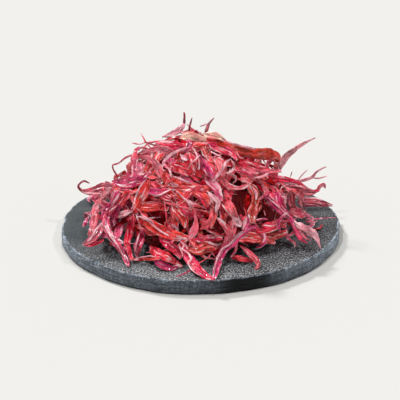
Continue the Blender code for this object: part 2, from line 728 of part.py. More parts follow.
def core_mesh():
    """The heart's core: the mound's outline, turned, which drops straight to a foot over the plate."""
    arcs = np.linspace(0, CORE_ARC, CORE_RINGS)
    profile = [(float(np.interp(arc, ARC, RADIUS)), float(np.interp(arc, ARC, HEIGHT))) for arc in arcs]
    profile[0] = (0.0, profile[0][1])
    profile += [(profile[-1][0], PLATE_GAP), (0.0, PLATE_GAP)]
    line = bmesh.new()
    verts = [line.verts.new((x * MILLIMETRE, 0, (z + PLATE_THICKNESS) * MILLIMETRE)) for x, z in profile]
    for pair in zip(verts, verts[1:]):
        line.edges.new(pair)
    mesh = bpy.data.meshes.new("core_profile")
    line.to_mesh(mesh)
    line.free()
    turned = add_object("core_profile", mesh, bpy.context.scene.collection)
    screw = turned.modifiers.new("screw", "SCREW")
    screw.steps = screw.render_steps = CORE_SIDES
    screw.use_merge_vertices = True
    screw.merge_threshold = 0.00001
    result = evaluated_mesh(turned, "core")
    bpy.data.objects.remove(turned, do_unlink=True)
    fold(result)
    return result


def hewn_radius(azimuth):
    """The plate's radius, which waves slightly, as a rim that is broken by hand does."""
    waves = sum(depth * (math.sin(number * azimuth + phase) - 1) for number, depth, phase in HEWN_WAVES)
    off = math.remainder(azimuth - CHIP_AZIMUTH, math.tau) / CHIP_SPREAD
    return PLATE_RADIUS + waves - CHIP_DEPTH * math.exp(-off * off)


def slate_plate(collection):
    bpy.ops.mesh.primitive_cylinder_add(
        vertices=PLATE_SIDES, radius=PLATE_RADIUS * MILLIMETRE, depth=PLATE_THICKNESS * MILLIMETRE
    )
    plate = bpy.context.object
    plate.name = plate.data.name = "slate_plate"
    for vert in plate.data.vertices:
        azimuth = math.atan2(vert.co.y, vert.co.x)
        radius = hewn_radius(azimuth) * MILLIMETRE
        vert.co.x, vert.co.y = radius * math.cos(azimuth), radius * math.sin(azimuth)
        vert.co.z += PLATE_THICKNESS / 2 * MILLIMETRE
    bevel = plate.modifiers.new("worn_edges", "BEVEL")
    bevel.width = PLATE_BEVEL * MILLIMETRE
    bevel.segments = 1
    bevel.limit_method = "ANGLE"
    bevel.angle_limit = math.radians(50)
    plate.data.materials.append(finish("slate"))
    for holder in list(plate.users_collection):
        holder.objects.unlink(plate)
    collection.objects.link(plate)


def tangle_heart(strands, collection):
    meshes = [core_mesh()]
    for strand in strands:
        meshes += frond_meshes(strand)
    mesh = joined("tangle_heart", meshes)
    mesh.materials.clear()
    mesh.materials.append(finish("crimson"))
    add_object("tangle_heart", mesh, collection)


def add_frond(frond, collection):
    mesh = joined(frond.name, frond_meshes(frond))
    mesh.materials.clear()
    mesh.materials.append(finish(frond.colour))
    add_object(frond.name, mesh, collection)


def main():
    remove_everything()
    funori = bpy.data.collections.new("funori")
    bpy.context.scene.collection.children.link(funori)
    strands, fronds = tangle()
    slate_plate(funori)
    tangle_heart(strands, funori)
    for frond in fronds:
        add_frond(frond, funori)


main()
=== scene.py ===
"""The looks of a heap of dried funori, a red seaweed, on a round slate plate.

The fine fronds follow the lines of the frame's solids: the layout below is the construction's own, with its
seed, so each one lies where its solid is. Strands, teeth and scraps that are too fine for the solids are laid
over, under and between them. The layout is in millimetres over the plate's top, and the meshes are in metres.
"""

import math
import random

import bpy
import numpy as np
from mathutils import Matrix, Vector


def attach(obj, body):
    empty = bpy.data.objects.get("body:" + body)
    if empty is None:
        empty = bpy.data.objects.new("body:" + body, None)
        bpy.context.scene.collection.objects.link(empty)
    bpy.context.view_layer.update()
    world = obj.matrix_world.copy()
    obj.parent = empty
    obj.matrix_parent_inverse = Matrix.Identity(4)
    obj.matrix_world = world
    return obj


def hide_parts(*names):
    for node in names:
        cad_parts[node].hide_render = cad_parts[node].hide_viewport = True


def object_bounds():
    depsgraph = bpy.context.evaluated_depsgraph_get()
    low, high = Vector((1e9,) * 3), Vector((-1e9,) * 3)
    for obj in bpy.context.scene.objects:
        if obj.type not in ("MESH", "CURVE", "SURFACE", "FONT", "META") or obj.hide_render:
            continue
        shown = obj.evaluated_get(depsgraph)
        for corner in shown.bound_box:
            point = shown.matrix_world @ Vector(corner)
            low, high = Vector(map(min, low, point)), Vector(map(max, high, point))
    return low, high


# Driving sizes in millimetres
PLATE_RADIUS = 61.3
PLATE_THICKNESS = 6.0
MILLIMETRE = 0.001
TINY = 1e-9                 # keeps a length from being nought where it divides

# The mound that the fronds are laid on: its outline, from the apex down and out over the plate
DOME_ARC = 35.0
STEEP_ARC = 8.0
FOOT_ARC = 25.0
STEEPEST = math.radians(55)
ARC_STEP = 0.25
ARC_END = 96.0

# How fronds lie
STEP = 0.95                 # between the points of a path
STEPS_PER_KNOT = 6          # a knot is where a frond's section is given
KNOT_GAP = STEP * STEPS_PER_KNOT
CLEARANCE = 0.42            # between one frond and the next
SUNK = 0.70                 # how deep the heart's strands sink into what they lie on
SPUR_LENGTH = (4.0, 9.0)
SPUR_HALF_WIDTH = 0.62
SPUR_TRIES = 5
SAMPLE_GAP = 1.1            # between the sample points of what is laid
SAMPLE_REACH = 0.85
STIFFNESS = 3
RAISES = 12
ENOUGH = 0.03
PLATE_GAP = 0.35            # between a frond and the plate
REACH_LIMIT = 47.0          # from the plate's axis
SWAY_KEPT = 0.82            # of a path's wander, from one step to the next
TURN_BACK = 0.2             # radians a step, beyond the reach limit
TIGHTEST_TURN = 1.5         # radius, to which two half widths are added
SWELL = (0.80, 0.32)        # the half width along a branch: at least, and how much more
TAPER = 0.40                # the share of a branch that narrows to its tip
ROOTS = (0.45, 0.75)        # how wide a frond and a fork start
FLATNESS = (0.32, 0.12)     # half thickness: so much, and so much of the half width
ROUND = 0.9                 # half thickness of a round one, for its half width
THINNEST = (0.16, 0.14)     # half width and half thickness
CURVE_PARTS = 12            # of each gap between the points of a traced line

# The heap
HEART_STRANDS = 36
HEART_REACH = 38.0          # along the mound, from its apex, to where the heart's strands start
HEART_LENGTH = (30, 44)
HEART_HALF_WIDTH = (1.6, 2.4)
GROWN_FRONDS = 26
GROWN_LENGTH = (34, 50)
GROWN_HALF_WIDTH = (1.2, 2.1)
CANDIDATES = 4
HIGHEST_CLIMB = 12.0
GROWN_REACH = 50.0
GROWN_BACKWARD = 7.0        # because most of the traced fronds lie in front
LIFT = 3.0                  # the most that a tip stands off
SPURS = 1
TOP_COLOURS_ABOVE = 34
LEFT_COLOURS_BEYOND = -20
RIGHT_COLOURS_BEYOND = 24
SEED = 7
SPARED = ("frond_10", "frond_19", "frond_21", "frond_22", "frond_24")

# The plate's finer form
PLATE_SIDES = 600
TOP_RINGS = 30
TOP_SPACING = 0.7           # below 1, they lie closer together near the rim
RIM_LEVELS = 11
HEWN_WAVES = ((3, 0.35, 0.4), (7, 0.22, 1.9), (17, 0.12, 0.7), (31, 0.08, 2.2))    # number, depth, phase
CHIP_AZIMUTH = math.radians(146)    # where the rim is broken nearly straight
CHIP_DEPTH = 1.0
CHIP_SPREAD = 0.16
FLAKE_WAVES = (23, 37, 61, 89, 131, 197)    # round the rim
EDGE_CHIPS = (0.45, 0.9)    # least width of the chipped edge, and how much wider it gets
FLAKE_SHADE = 0.3
SHADE_NOISE = 0.12
EDGE_RINGS = ((0.3, 0.9), (0.0, 1.0))       # how far inside the chipped edge, and how hewn they look
PLATE_SEED = 5

# How pale the hewn side is, with painted light at the left and the right and painted shade in front:
# azimuths are in degrees from the left
SIDE_SHADE = 0.065
PAINTED_LIGHT_LEFT = (0.20, 55)      # how much paler, and over how wide an angle
PAINTED_LIGHT_RIGHT = (0.17, 42)
RIGHT_AZIMUTH = 165
PAINTED_LIGHT_BACK = 0.05
BACK_FROM = 130
SCAR_AZIMUTH = 107          # where a scale has broken off
SCAR_WIDTH = 12
SCAR_DARK = 0.96
SLATE_TONE = (0.84, 0.97, 1.14)
UNDERSIDE_SHADE = 0.1

# Fine strands
RINGS_PER_KNOT = 10
RINGS_PER_STEP = 2          # of a free strand
STRAP_SIDES = 18
THREAD_SIDES = 8
SPRIG_SIDES = 6
SPRIG_RINGS = 9
STRAP_FROM = 0.9            # half width
TWO_STRIPS_FROM = 0.95      # half widths from which a strand is split along its length
THREE_STRIPS_FROM = 1.6
STRIP_OVERLAP = 1.1
CREASE_ANGLE = math.radians(38)
# From this height up, strands get paler: painted light that passes through the fronds
PALE_ABOVE = 36             # the height over the plate from which strands get paler
PALE_WITHIN = 10
PALE_MOST = 0.3
TINT_SPREAD = (0.8, 1.12)   # how bright one strand's colours are against another's
STRIP_SPREAD = (0.85, 1.12)
LINE_SPREAD = (0.9, 1.1)
FINEST = (0.06, 0.05)       # half width and half thickness
TIP_REACH = 0.35            # of the end point beyond the last ring
WAVES = ((1.0, 0.6), (0.57, 0.4), (0.31, 0.25))    # of one wavering: shares of its length, and heights

# How a fine strand wavers along its length: by how much, and over how many millimetres
ASIDE = (0.09, 7.0)
ALOFT = (0.08, 5.0)
TURN = (0.35, 11.0)
EDGE = (0.08, 6.0)
TEETH = (0.05, 1.9)
KEEL = (0.55, 9.0)
KEEL_HEIGHT = (0.55, 12.0)
CREASES = (1.5, 5.0)
TINT_SHARE = (0.6, 13.0)
BRIGHTNESS = (0.2, 6.0)
BOW_LENGTH = 9.0
BOW = 0.35                  # of the half width
FOLDS = ((2.6, 0.24, 7.0), (5.2, 0.10, 4.0))    # across it: number, height, and length of their wavering
CREASE_NUMBER = 4.4
CREASE_DEPTH = 0.3
FULL_THICKNESS = 0.65       # of the half thickness, which the creases and folds add to

# Strands that only the scene has. Each kind: its lengths, its half widths, how far up it lies from the mound,
# at 0, to the top of what is laid, at 1, and how many times it may fork
SCRAPS = 45
THREADS = 12
INNER_STRANDS = 110
BACK_STRANDS = 130
SCRAP = ((8, 22), (0.8, 1.6), 0.6, (1, 2))
THREAD = ((12, 26), (0.25, 0.4), 1.0, (0, 1, 2))
BACK_STRAND = ((14, 34), (0.5, 1.7), (0.6, 1.0), (0, 1, 2))
INNER_LENGTH = (14, 30)
INNER_HALF_WIDTH = (0.6, 1.6)
# INNER_DEPTH also sets how far an inner strand lightens from its painted shade towards its own colour
INNER_DEPTH = (0.1, 0.6)
FREE_CURL = 5               # degrees a millimetre
FREE_WANDER = 3.2
SPAN = 3                    # steps to each side over which a free strand bridges dips
SPRIGS_PER_FROND = 2
EXTRA_REACH = 46.0
EXTRA_SEED = 23
BACK_SEED = 31
BACK_START = 3.0            # behind the heap's middle
# The heart's strands get less of the painted highlight along their edges
HEART_PALE = 0.7            # how pale the edges of the heart's strands are
GRID_GAP = 0.6              # between the chart points at which the heap's height is kept
GRID_REACH = 135

TIP_LIFTS = (0.0, 0.0, 1.0, 2.5)    # how far a free strand's tip may stand off
STRAND_FLATNESS = (0.22, 0.15)      # half thickness: so much, and so much of the half width
BRANCH_TURN = (0.4, 1.1)            # radians
BRANCH_LENGTH = (0.25, 0.5)         # of its strand
BRANCH_WIDTH = (0.5, 0.8)
SPRIG_LENGTH = (1.5, 5.5)
SPRIG_RADIUS = (0.18, 0.42)
SPRIG_CLEARANCE = 0.8               # over the plate

# The bottom of the heap, painted dark red: painted shade deep in the heap
CORE_ARC = 44
CORE_RINGS = 46
CORE_SIDES = 120
CORE_FOLD = 0.5
CORE_DEPTH = 1.3            # under the mound

# Strands that are seen
PICTURE_SIZE = 400
PLACE_SIZE = 0.43           # of a place in the photograph's frame, at the heap
PLACE_GAP = 1.3             # places between the rings of a strand
TOP_PLACE = 192             # above which a strand lies on the heap's top
RUN_BACK_ON_TOP = 0.6       # how fast a strand there may run away from the camera
RUN_BACK = 2.6
NARROWEST = 0.8             # places
SEEN_FLATNESS = (0.22, 0.13)
ROUNDEST = 0.9              # of the half width
NEAREST = 330.0             # from the camera, where the search for the heap starts
FARTHEST = 490.0
SEARCH_STEP = 0.8
SET_FORWARD = 0.8           # of the half thickness, in front of what it lies on
FACING = 0.6                # how much a strand faces away from the mound as well as to the camera
PRINTED = (-0.7, 0, 0.7)    # shares of its half width at which it raises what later ones lie on

# Camera and room
VIEW_ELEVATION = math.radians(22.5)
VIEW_DISTANCE = 0.420
VIEW_ROLL = math.radians(-0.5)
LENS = 86.4
SENSOR = 36
VIEW_SHIFT = 0.05
FOCAL = LENS / SENSOR * PICTURE_SIZE
MIDDLE = PICTURE_SIZE / 2
MIDDLE_ROW = MIDDLE + VIEW_SHIFT * PICTURE_SIZE

# Light: each sun's name, direction, spread in degrees, and the brightness it gives a white floor
WORLD_LIGHT = 0.26
SUNS = (
    ("broad", (-0.55, 0.55, 0.9), 10, 0.50),
    ("top", (0.1, 0.1, 1.0), 5, 0.24),
    ("right", (0.65, -0.45, 0.8), 4, 0.16),
    ("glint", (-0.35, -0.35, 0.8), 3, 0.36),
)
FLOOR_COLOUR = (0.584, 0.577, 0.557, 1)
FLOOR_SIZE = 8

# Colours, linear
CRIMSON = (0.800, 0.006, 0.045)
SCARLET = (0.900, 0.030, 0.012)
MAGENTA = (0.680, 0.014, 0.140)
MAUVE = (0.600, 0.045, 0.140)
ROSE = (0.930, 0.120, 0.165)
# PALE is the pink of painted highlights and of painted light through thin or high fronds, with a little real
# paleness
PALE = (0.970, 0.600, 0.640)
# Painted shade: the dark red of the heap's gaps, for its bottom and for the strands deep inside it
PAINTED_SHADE_RED = (0.360, 0.002, 0.006)
BLUSH = (0.950, 0.200, 0.260)
# PETAL is the pink of pale strands, and of the painted highlight lines laid along broader ones
PETAL = (0.950, 0.470, 0.530)
PEACH = (0.970, 0.560, 0.420)
EMBER = (0.560, 0.036, 0.010)
SHADOW = (0.070, 0.001, 0.002)
PLUM = (0.600, 0.130, 0.170)
WINE = (0.380, 0.040, 0.075)
FADED = (0.580, 0.270, 0.300)
TINTS = {"crimson": CRIMSON, "scarlet": SCARLET, "magenta": MAGENTA, "mauve": MAUVE, "rose": ROSE,
         "petal": PETAL, "peach": PEACH, "ember": EMBER, "plum": PLUM, "wine": WINE, "faded": FADED,
         "deep": SHADOW}
NEAR = {"crimson": ("scarlet", "magenta", "crimson"), "scarlet": ("crimson", "rose", "crimson"),
        "magenta": ("crimson", "mauve", "magenta"), "mauve": ("magenta", "crimson", "mauve"),
        "rose": ("crimson", "scarlet", "mauve"), "petal": ("rose", "mauve"), "peach": ("rose", "scarlet"),
        "ember": ("scarlet", "crimson"), "plum": ("crimson", "mauve"), "wine": ("plum", "wine"),
        "faded": ("plum", "faded"), "deep": ("deep",)}
FULLNESS = {"tube_top_right": 0.8, "sac_right": 0.5}
SLOT_OF = {"crimson": "crimson", "scarlet": "scarlet", "magenta": "magenta", "mauve": "mauve", "rose": "rose",
           "petal": "rose", "peach": "rose", "ember": "scarlet", "plum": "mauve", "wine": "mauve",
           "faded": "rose", "deep": "shaded"}
SPREAD_COLOURS = ("crimson", "scarlet", "magenta", "mauve", "rose")
BLUE_SLATE = (0.044, 0.054, 0.060)
GREY_SLATE = (0.110, 0.116, 0.121)
# The slate in the heap's painted shadow, with a reddish cast
PAINTED_SHADOW_SLATE = (0.036, 0.031, 0.034)
DARK_GRAIN = (0.012, 0.014, 0.016)
LIGHT_GRAIN = (0.48, 0.50, 0.52)

# Textures: how much finer than a millimetre or, on the slate, a metre along each axis, detail and roughness
MOTTLE = ((0.40, 0.20, 1.0), 3.0, 0.6)
CREASE = ((0.85, 0.16, 1.0), 2.0, 0.5)
STREAK = ((2.0, 0.24, 1.0), 2.0, 0.5)
PUCKER = ((0.9, 0.7, 1.0), 2.0, 0.5)
CLOUD = ((60, 95, 60), 4.0, 0.6)
GRAIN = ((900, 900, 900), 2.0, 0.7)
GRIT = ((1500, 1500, 1500), 1.0, 0.5)
LAYERS = ((120, 120, 1100), 3.0, 0.6)

# How textures and places set tones: from one value to another, and the amounts that these stand for
MOTTLE_DEPTH = (0.38, 0.58, 0.48, 1.04)
STREAK_DEPTH = (0.42, 0.54, -0.12, 0.14)
CREASE_HIGHLIGHT = (0.59, 0.65, 0.0, 0.9)
STREAK_HIGHLIGHT = (0.59, 0.65, 0.0, 0.8)
MOTTLE_BLUSH = (0.47, 0.66, 0.0, 0.30)
HIGHLIGHT_PALE = (0.50, 1.10, 0.0, 0.88)
ROUGH_IN_FRONT = (-0.050, -0.015, 0.75, 0.0)
ROUGH_AT_RIGHT = (-0.030, 0.045, 0.08, 0.40)
CLOUD_GREY = (0.35, 0.65, -0.2, 0.3)
# Painted light: the slate's top is lighter towards the front
PAINTED_LIGHT_IN_FRONT = (-0.058, -0.020, 0.9, 0.15)
# Painted shadow: the heap's shadow darkens the slate's top towards the right
PAINTED_SHADOW_AT_RIGHT = (0.005, 0.045, 0.0, 0.65)
GRAIN_DARK = (0.42, 0.54, 0.9, 0.0)
GRIT_LIGHT = (0.53, 0.62, 0.0, 0.9)
LAYERS_DARK = (0.40, 0.62, 0.8, 0.0)
GRIT_ON_SIDE = (0.54, 0.70, 0.0, 0.6)
LAYER_DIM = 0.35
GRIT_BRIGHT = 2.2

# Bumps: strength, and depth in metres
CREASE_BUMP = (1.0, 0.0006)
PUCKER_BUMP = (1.0, 0.0004)
CLOUD_BUMP = (0.5, 0.001)
LAYER_BUMP = (0.5, 0.0004)
GRAIN_BUMP = (0.6, 0.0002)

# The shaders' plain inputs
SEAWEED_INPUTS = {"Roughness": 0.3, "Specular IOR Level": 0.08, "Subsurface Weight": 0.5,
                  "Subsurface Radius": (1.0, 0.3, 0.3), "Subsurface Scale": 0.0015, "Coat Weight": 1.0,
                  "Coat IOR": 1.42, "Coat Roughness": 0.05}
SHADED_INPUTS = {"Roughness": 0.5, "Specular IOR Level": 0.06}
SLATE_INPUTS = {"Roughness": 0.62, "Specular IOR Level": 0.2}
FLOOR_INPUTS = {"Base Color": FLOOR_COLOUR, "Roughness": 1.0, "Specular IOR Level": 0.0}

# Strands that show in the photograph, from those that lie deepest to the uppermost: the colour, the node that
# each stands for, if any, and places in the photograph's 400 by 400 frame with the strand's width there
# Many petal strands are pale lines laid along broader ones: painted highlights on their edges and folds; the
# others are pale strands of their own
SEEN_ON_THE_HEAP = (
    # The deep strands are painted shadow: dark strands laid where the heap's gaps are in shade
    ("deep", "", ((246, 190, 9), (238, 198, 12), (238, 208, 11), (243, 216, 6))),
    ("deep", "", ((258, 203, 7), (266, 210, 10), (270, 217, 9), (262, 220, 6))),
    ("deep", "", ((214, 219, 7), (219, 226, 8), (222, 233, 5))),
    ("deep", "", ((184, 219, 5), (188, 224, 7), (198, 219, 6))),
    ("deep", "", ((150, 236, 6), (157, 240, 8), (154, 246, 6))),
    ("deep", "", ((203, 153, 5), (210, 155, 6), (217, 157, 4))),
    ("crimson", "", ((156, 143, 6), (166, 145, 9), (178, 146, 8), (186, 148, 4))),
    ("plum", "", ((138, 153, 3), (148, 151, 5), (158, 149, 7), (168, 151, 8), (176, 155, 5))),
    ("plum", "", ((140, 156, 3), (148, 158, 5), (156, 164, 7), (160, 172, 8), (166, 178, 5))),
    ("magenta", "", ((118, 190, 6), (113, 197, 7), (116, 205, 6), (124, 208, 4))),
    ("plum", "strand_left_down", ((112, 187, 6), (104, 195, 6), (97, 204, 7), (95, 214, 7), (94, 224, 6),
        (89, 235, 4))),
    ("magenta", "", ((124, 186, 5), (118, 194, 6), (112, 203, 6), (105, 212, 6), (102, 221, 4))),
    ("magenta", "", ((112, 181, 4), (122, 183, 10), (132, 181, 13), (142, 178, 9), (147, 174, 4))),
    ("mauve", "", ((128, 182, 8), (128, 175, 4), (127, 169, 1))),
    ("mauve", "", ((136, 180, 6), (135, 173, 3), (133, 169, 1))),
    ("crimson", "", ((130, 192, 8), (124, 198, 8), (119, 206, 7), (112, 214, 5))),
    ("crimson", "", ((150, 182, 8), (156, 188, 9), (162, 195, 8), (170, 199, 5))),
    ("magenta", "", ((142, 186, 5), (150, 191, 7), (160, 192, 6), (168, 190, 3))),
    ("scarlet", "", ((138, 207, 5), (148, 208, 8), (158, 207, 7), (168, 209, 4))),
    ("mauve", "", ((120, 222, 8), (119, 230, 9), (116, 237, 7), (110, 240, 3))),
    ("crimson", "bunch_left", ((104, 240, 6), (97, 242, 6), (90, 245, 4), (84, 245, 2))),
    ("plum", "bunch_left", ((104, 222, 3), (99, 230, 8), (93, 238, 8), (86, 243, 4), (83, 245, 2))),
    ("petal", "bunch_left", ((104, 221, 1.5), (99, 226, 2), (95, 231, 2), (91, 238, 2), (88, 241, 1))),
    ("crimson", "", ((172, 164, 7), (182, 168, 11), (192, 172, 12), (200, 179, 8))),
    ("crimson", "", ((186, 150, 4), (193, 158, 8), (196, 168, 9), (203, 176, 6))),
    ("crimson", "", ((208, 143, 6), (216, 147, 9), (224, 150, 9), (232, 154, 6), (237, 160, 3))),
    ("rose", "", ((214, 158, 7), (220, 163, 9), (222, 172, 8), (216, 180, 6))),
    ("crimson", "", ((202, 163, 4), (208, 166, 8), (214, 172, 7), (220, 178, 4))),
    ("crimson", "", ((238, 163, 5), (248, 165, 8), (258, 168, 8), (268, 171, 6), (278, 173, 3))),
    ("rose", "", ((240, 167, 3), (250, 171, 5), (260, 172, 5), (272, 171, 4), (281, 171, 3))),
    ("ember", "tube_top_right", ((213, 141, 5), (224, 144, 8), (236, 149, 10), (250, 153, 11),
        (262, 154, 12), (271, 154, 12), (277, 157, 9), (278, 162, 4))),
    ("petal", "tube_top_right", ((222, 141, 1), (234, 144, 2), (246, 147, 2.4), (256, 149, 2))),
    ("crimson", "", ((268, 184, 7), (272, 193, 9), (278, 201, 9), (284, 209, 7))),
    ("plum", "", ((291, 190, 9), (291, 199, 10), (293, 207, 8), (297, 212, 5))),
    ("plum", "", ((301, 190, 6), (301, 200, 7), (302, 208, 5), (304, 213, 3))),
    ("crimson", "", ((288, 212, 6), (295, 213, 10), (302, 214, 9), (306, 215, 4))),
    ("crimson", "", ((262, 225, 6), (270, 226, 8), (279, 224, 7), (286, 226, 5))),
    ("ember", "", ((264, 236, 6), (273, 236, 8), (281, 234, 7), (287, 232, 4))),
    ("crimson", "", ((160, 212, 8), (166, 218, 10), (172, 226, 9), (176, 233, 5))),
    ("scarlet", "", ((172, 205, 6), (178, 212, 9), (184, 219, 8), (186, 227, 5))),
    ("crimson", "", ((180, 205, 7), (188, 211, 9), (196, 214, 8), (203, 216, 4))),
    ("crimson", "", ((197, 196, 6), (205, 199, 10), (209, 206, 8), (210, 213, 4))),
    ("scarlet", "", ((200, 193, 3), (206, 197, 6), (211, 203, 5))),
    ("crimson", "bunch_front", ((150, 246, 7), (157, 253, 10), (167, 257, 10), (176, 263, 6),
        (182, 268, 3))),
    ("magenta", "bunch_front", ((154, 260, 6), (162, 265, 8), (170, 268, 6), (178, 268, 3))),
    ("crimson", "", ((159, 237, 5), (167, 244, 8), (176, 251, 8), (181, 258, 4))),
    ("scarlet", "bunch_front", ((132, 260, 3), (142, 259, 4.5), (152, 259, 4.5), (160, 258, 3))),
    ("petal", "bunch_front", ((136, 258, 1), (143, 257, 1.6), (150, 256, 1.4), (155, 257, 1))),
    ("ember", "", ((187, 250, 5), (197, 250, 10), (209, 247, 11), (220, 244, 8), (228, 242, 4))),
    ("crimson", "", ((193, 240, 5), (204, 239, 7), (214, 238, 7), (222, 238, 4))),
    ("petal", "", ((202, 241, 1), (210, 243, 2.5), (217, 245, 2.5), (221, 243, 1))),
    ("crimson", "claw_front_right", ((230, 257, 4), (238, 258, 6), (247, 260, 5), (253, 261, 3))),
    ("scarlet", "", ((236, 240, 7), (247, 237, 10), (258, 238, 11), (267, 240, 8), (275, 243, 3))),
    ("crimson", "", ((248, 229, 5), (258, 231, 5), (268, 231, 4), (277, 228, 3))),
    ("scarlet", "", ((212, 204, 5), (214, 212, 7), (213, 220, 5), (211, 228, 2))),
    ("scarlet", "", ((164, 171, 4), (166, 178, 8), (173, 185, 10), (184, 187, 9), (195, 187, 8),
        (206, 188, 3))),
    ("scarlet", "", ((149, 180, 5), (146, 188, 10), (142, 197, 9), (137, 206, 7), (134, 214, 4))),
    ("scarlet", "", ((175, 190, 5), (181, 196, 6), (187, 201, 5), (193, 206, 3))),
    ("crimson", "", ((194, 190, 3), (188, 196, 5), (183, 202, 5), (176, 206, 3))),
    ("petal", "", ((147, 179, 1.6), (142, 184, 2), (138, 191, 2.2), (135, 199, 1.8), (133, 206, 1.4),
        (130, 211, 1))),
    ("petal", "", ((150, 193, 1.4), (156, 196, 2), (164, 193, 1.6), (170, 190, 1))),
    ("scarlet", "", ((136, 217, 5), (146, 222, 9), (156, 228, 11), (166, 233, 11), (176, 236, 10),
        (187, 239, 7))),
    ("petal", "", ((137, 216, 1.6), (146, 219, 2.4), (154, 226, 2.4), (162, 232, 2), (169, 236, 1.4))),
    ("petal", "", ((141, 214, 1), (148, 219, 2), (153, 222, 1.4))),
    ("petal", "", ((172, 238, 1.2), (178, 239, 2), (184, 239, 1.4))),
    ("petal", "", ((170, 224, 2), (174, 226, 2.5), (178, 230, 1.6))),
    ("petal", "", ((132, 211, 3), (126, 213, 6), (120, 215, 6.5), (115, 215, 2))),
    ("crimson", "strap_left_inner", ((133, 214, 5), (132, 224, 9), (129, 234, 8), (127, 243, 6),
        (129, 251, 5), (132, 260, 4))),
    ("petal", "strap_left_inner", ((136, 214, 1), (138, 220, 1.6), (140, 226, 1.2))),
    ("mauve", "strap_left_short", ((143, 230, 4), (141, 238, 8), (138, 246, 8), (137, 252, 6),
        (137, 257, 2))),
    ("petal", "strap_left_short", ((140, 231, 1), (138, 238, 1.8), (136, 245, 1.8), (135, 251, 1))),
    ("magenta", "", ((121, 206, 4), (115, 211, 10), (112, 219, 10), (113, 226, 5))),
    ("mauve", "strap_left_long", ((118, 205, 4), (110, 211, 6), (106, 219, 7), (107, 228, 8), (112, 237, 6),
        (118, 246, 6), (123, 254, 5), (127, 262, 5), (129, 268, 2))),
    ("petal", "strap_left_long", ((106, 222, 2), (107, 228, 4.5), (112, 237, 3), (118, 246, 1.6),
        (124, 257, 1.2))),
    ("crimson", "strap_front", ((181, 240, 7), (184, 248, 9), (188, 256, 10), (194, 265, 10), (202, 273, 8),
        (210, 279, 5), (215, 281, 2))),
    ("petal", "strap_front", ((179, 240, 2), (184, 245, 2), (182, 249, 2), (188, 253, 2), (191, 259, 2.5),
        (188, 263, 1.5), (192, 270, 1.4), (199, 275, 1.2))),
    ("rose", "", ((231, 220, 7), (232, 228, 9), (229, 237, 8), (225, 246, 7), (221, 254, 4))),
    ("rose", "", ((216, 217, 2.5), (222, 223, 5), (227, 229, 6), (230, 236, 4))),
    ("petal", "", ((216, 217, 1), (222, 222, 1.8), (226, 227, 1))),
    ("rose", "", ((224, 195, 4), (228, 203, 9), (232, 211, 9), (236, 219, 7), (242, 225, 3))),
    ("petal", "", ((232, 216, 3), (236, 222, 7), (241, 226, 3))),
    ("petal", "", ((221, 203, 1.4), (226, 210, 1.8), (231, 216, 1.4))),
    ("rose", "", ((200, 229, 4), (207, 225, 6), (211, 218, 4), (212, 209, 3))),
    ("rose", "", ((195, 214, 2.5), (196, 221, 4), (195, 228, 7), (192, 235, 7), (189, 240, 3))),
    ("magenta", "strap_front_right", ((258, 226, 2), (252, 228, 4), (245, 232, 5), (238, 237, 6),
        (233, 243, 7), (226, 248, 7), (221, 255, 7), (218, 263, 7), (216, 271, 6), (214, 280, 3))),
    ("petal", "strap_front_right", ((250, 228, 1.4), (242, 232, 1.8), (235, 238, 1.8), (229, 245, 2),
        (222, 249, 2), (218, 257, 1.6), (215, 266, 1.4), (214, 275, 1))),
    ("petal", "", ((247, 216, 1), (245, 222, 4), (243, 229, 3))),
    ("magenta", "", ((251, 219, 2), (248, 226, 5), (244, 232, 3))),
    ("magenta", "", ((262, 231, 3), (265, 238, 4), (262, 245, 4), (256, 248, 2))),
    ("rose", "claw_front_right", ((237, 244, 3), (235, 251, 3), (231, 257, 2))),
    ("rose", "claw_front_right", ((240, 246, 3), (246, 250, 5), (252, 256, 6), (257, 261, 6), (258, 266, 4),
        (255, 270, 2))),
    ("ember", "", ((248, 184, 5), (254, 190, 8), (256, 198, 8), (254, 206, 8), (252, 214, 10),
        (253, 223, 5))),
    ("petal", "", ((252, 186, 2), (256, 193, 3.5), (256, 199, 2))),
    ("rose", "", ((261, 185, 5), (266, 190, 6), (265, 195, 3.5), (260, 199, 1.6))),
    ("magenta", "", ((277, 192, 5), (279, 199, 8), (281, 206, 8), (286, 212, 5))),
    ("magenta", "", ((263, 195, 3), (270, 200, 5), (277, 207, 7), (285, 214, 7), (292, 221, 6),
        (298, 227, 3))),
    ("petal", "", ((267, 197, 1), (274, 203, 1.4), (282, 210, 1.4), (290, 217, 1))),
    ("magenta", "", ((288, 212, 2.5), (282, 217, 3), (278, 224, 3.5), (280, 231, 2))),
    ("mauve", "sac_right", ((292, 224, 4), (297, 232, 5), (301, 239, 5), (307, 243, 2))),
    ("plum", "sac_right", ((300, 231, 2), (306, 238, 3.5), (312, 241, 2))),
    ("petal", "sac_right", ((294, 222, 4), (300, 226, 8), (307, 230, 10), (313, 234, 9), (317, 239, 5),
        (319, 244, 2.5), (321, 249, 1))),
    ("petal", "", ((280, 191, 1), (282, 187, 1.6), (286, 186, 1))),
    ("petal", "", ((281, 196, 2.5), (285, 198, 4), (285, 203, 2.5))),
    ("mauve", "", ((204, 180, 4), (211, 183, 8), (216, 188, 9), (219, 195, 7), (221, 201, 4))),
    ("petal", "", ((207, 191, 2), (212, 196, 4), (218, 202, 5), (217, 208, 4), (216, 213, 2))),
    ("mauve", "", ((236, 171, 2.5), (243, 172, 4), (250, 175, 4), (254, 179, 2))),
    ("rose", "", ((238, 179, 4), (246, 180, 5), (252, 181, 3))),
    ("rose", "", ((220, 175, 3), (223, 181, 6), (229, 186, 6), (237, 188, 4), (244, 187, 4),
        (250, 183, 2))),
    ("petal", "", ((231, 159, 2), (226, 162, 2.6), (223, 168, 3), (218, 175, 2.6), (213, 181, 2))),
